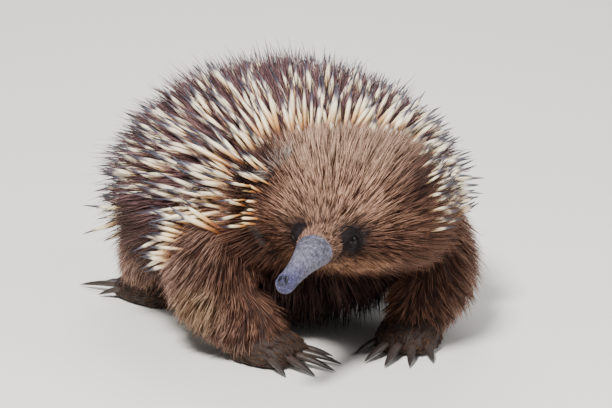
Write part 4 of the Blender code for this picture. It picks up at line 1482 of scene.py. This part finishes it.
def studio():
    """A pale floor, soft light from above and the front, and the photo's viewpoint."""
    bm = bmesh.new()
    bmesh.ops.create_grid(bm, x_segments=1, y_segments=1, size=6.0)
    floor_mesh = mesh_of(bm, "floor")
    floor_mesh.materials.append(floor_look())
    floor = bpy.data.objects.new("floor", floor_mesh)
    bpy.context.scene.collection.objects.link(floor)
    world = bpy.data.worlds.new("room")
    world.use_nodes = True
    sky = world.node_tree.nodes["Background"]
    sky.inputs["Color"].default_value = (*paint(236, 238, 242), 1.0)
    sky.inputs["Strength"].default_value = 0.36
    bpy.context.scene.world = world
    light_panel("key", (-0.85, -1.15, 1.85), (0, -0.03, 0.08), 0.45, 118, (1.0, 0.98, 0.95))
    light_panel("fill", (1.4, -0.9, 0.9), (0, -0.03, 0.08), 1.2, 14, (0.94, 0.97, 1.0))
    light_panel("back", (0.4, 1.4, 1.4), (0, 0.0, 0.10), 1.0, 26, (1.0, 0.98, 0.97))
    azimuth, elevation = CAMERA_AZIMUTH, CAMERA_ELEVATION
    back = Vector((math.sin(azimuth) * math.cos(elevation), -math.cos(azimuth) * math.cos(elevation),
                   math.sin(elevation)))
    above = Vector((-math.sin(azimuth) * math.sin(elevation), math.cos(azimuth) * math.sin(elevation),
                    math.cos(elevation)))
    camera = bpy.data.objects.new("camera", bpy.data.cameras.new("camera"))
    camera.data.lens = CAMERA_LENS
    camera.data.sensor_width = 36
    camera.data.clip_start = 0.05
    camera.location = above * CAMERA_RISE + SHIFT + back * CAMERA_DISTANCE
    camera.rotation_mode = "QUATERNION"
    camera.rotation_quaternion = (-back).to_track_quat("-Z", "Y")
    bpy.context.scene.collection.objects.link(camera)
    bpy.context.scene.camera = camera


def main():
    """Makes the skin first, since coat, spines and lids all take their places from it."""
    forms = skin_forms()
    skin = unwrapped(skin_mesh(forms))
    fields = coat_fields(skin, forms)
    set_tint(skin, fields["dark"] * SKIN_SHADE)
    sheet = numbers(skin.uv_layers["OFBake"].data, "uv", 2)
    sheet_of = sheet[numbers(skin.polygons, "loop_start", 1, np.int32)]
    skin_tree = tree_over(skin)
    ear_spots = ear_places(skin_tree)
    spines(skin, fields, sheet_of, skin_tree)
    coat(skin, fields, ear_spots, bridge_roots(skin_tree, sheet_of))
    eyes(skin_tree)
    ear_cups(ear_spots)
    beak()
    claws()
    flesh = ["torso", "tail", "head", "neck"]
    for end in ("fore", "hind"):
        flesh += [f"{end}{part}_{label}" for part in ("leg", "foot") for label in ("left", "right")]
    skin_look = grained_look("furred_skin", 0.8, 900.0, 0.75, 1.2, 0.6, 0.0006)
    finished("skin", skin, skin_look, "spiny_coat", *flesh)
    studio()


main()
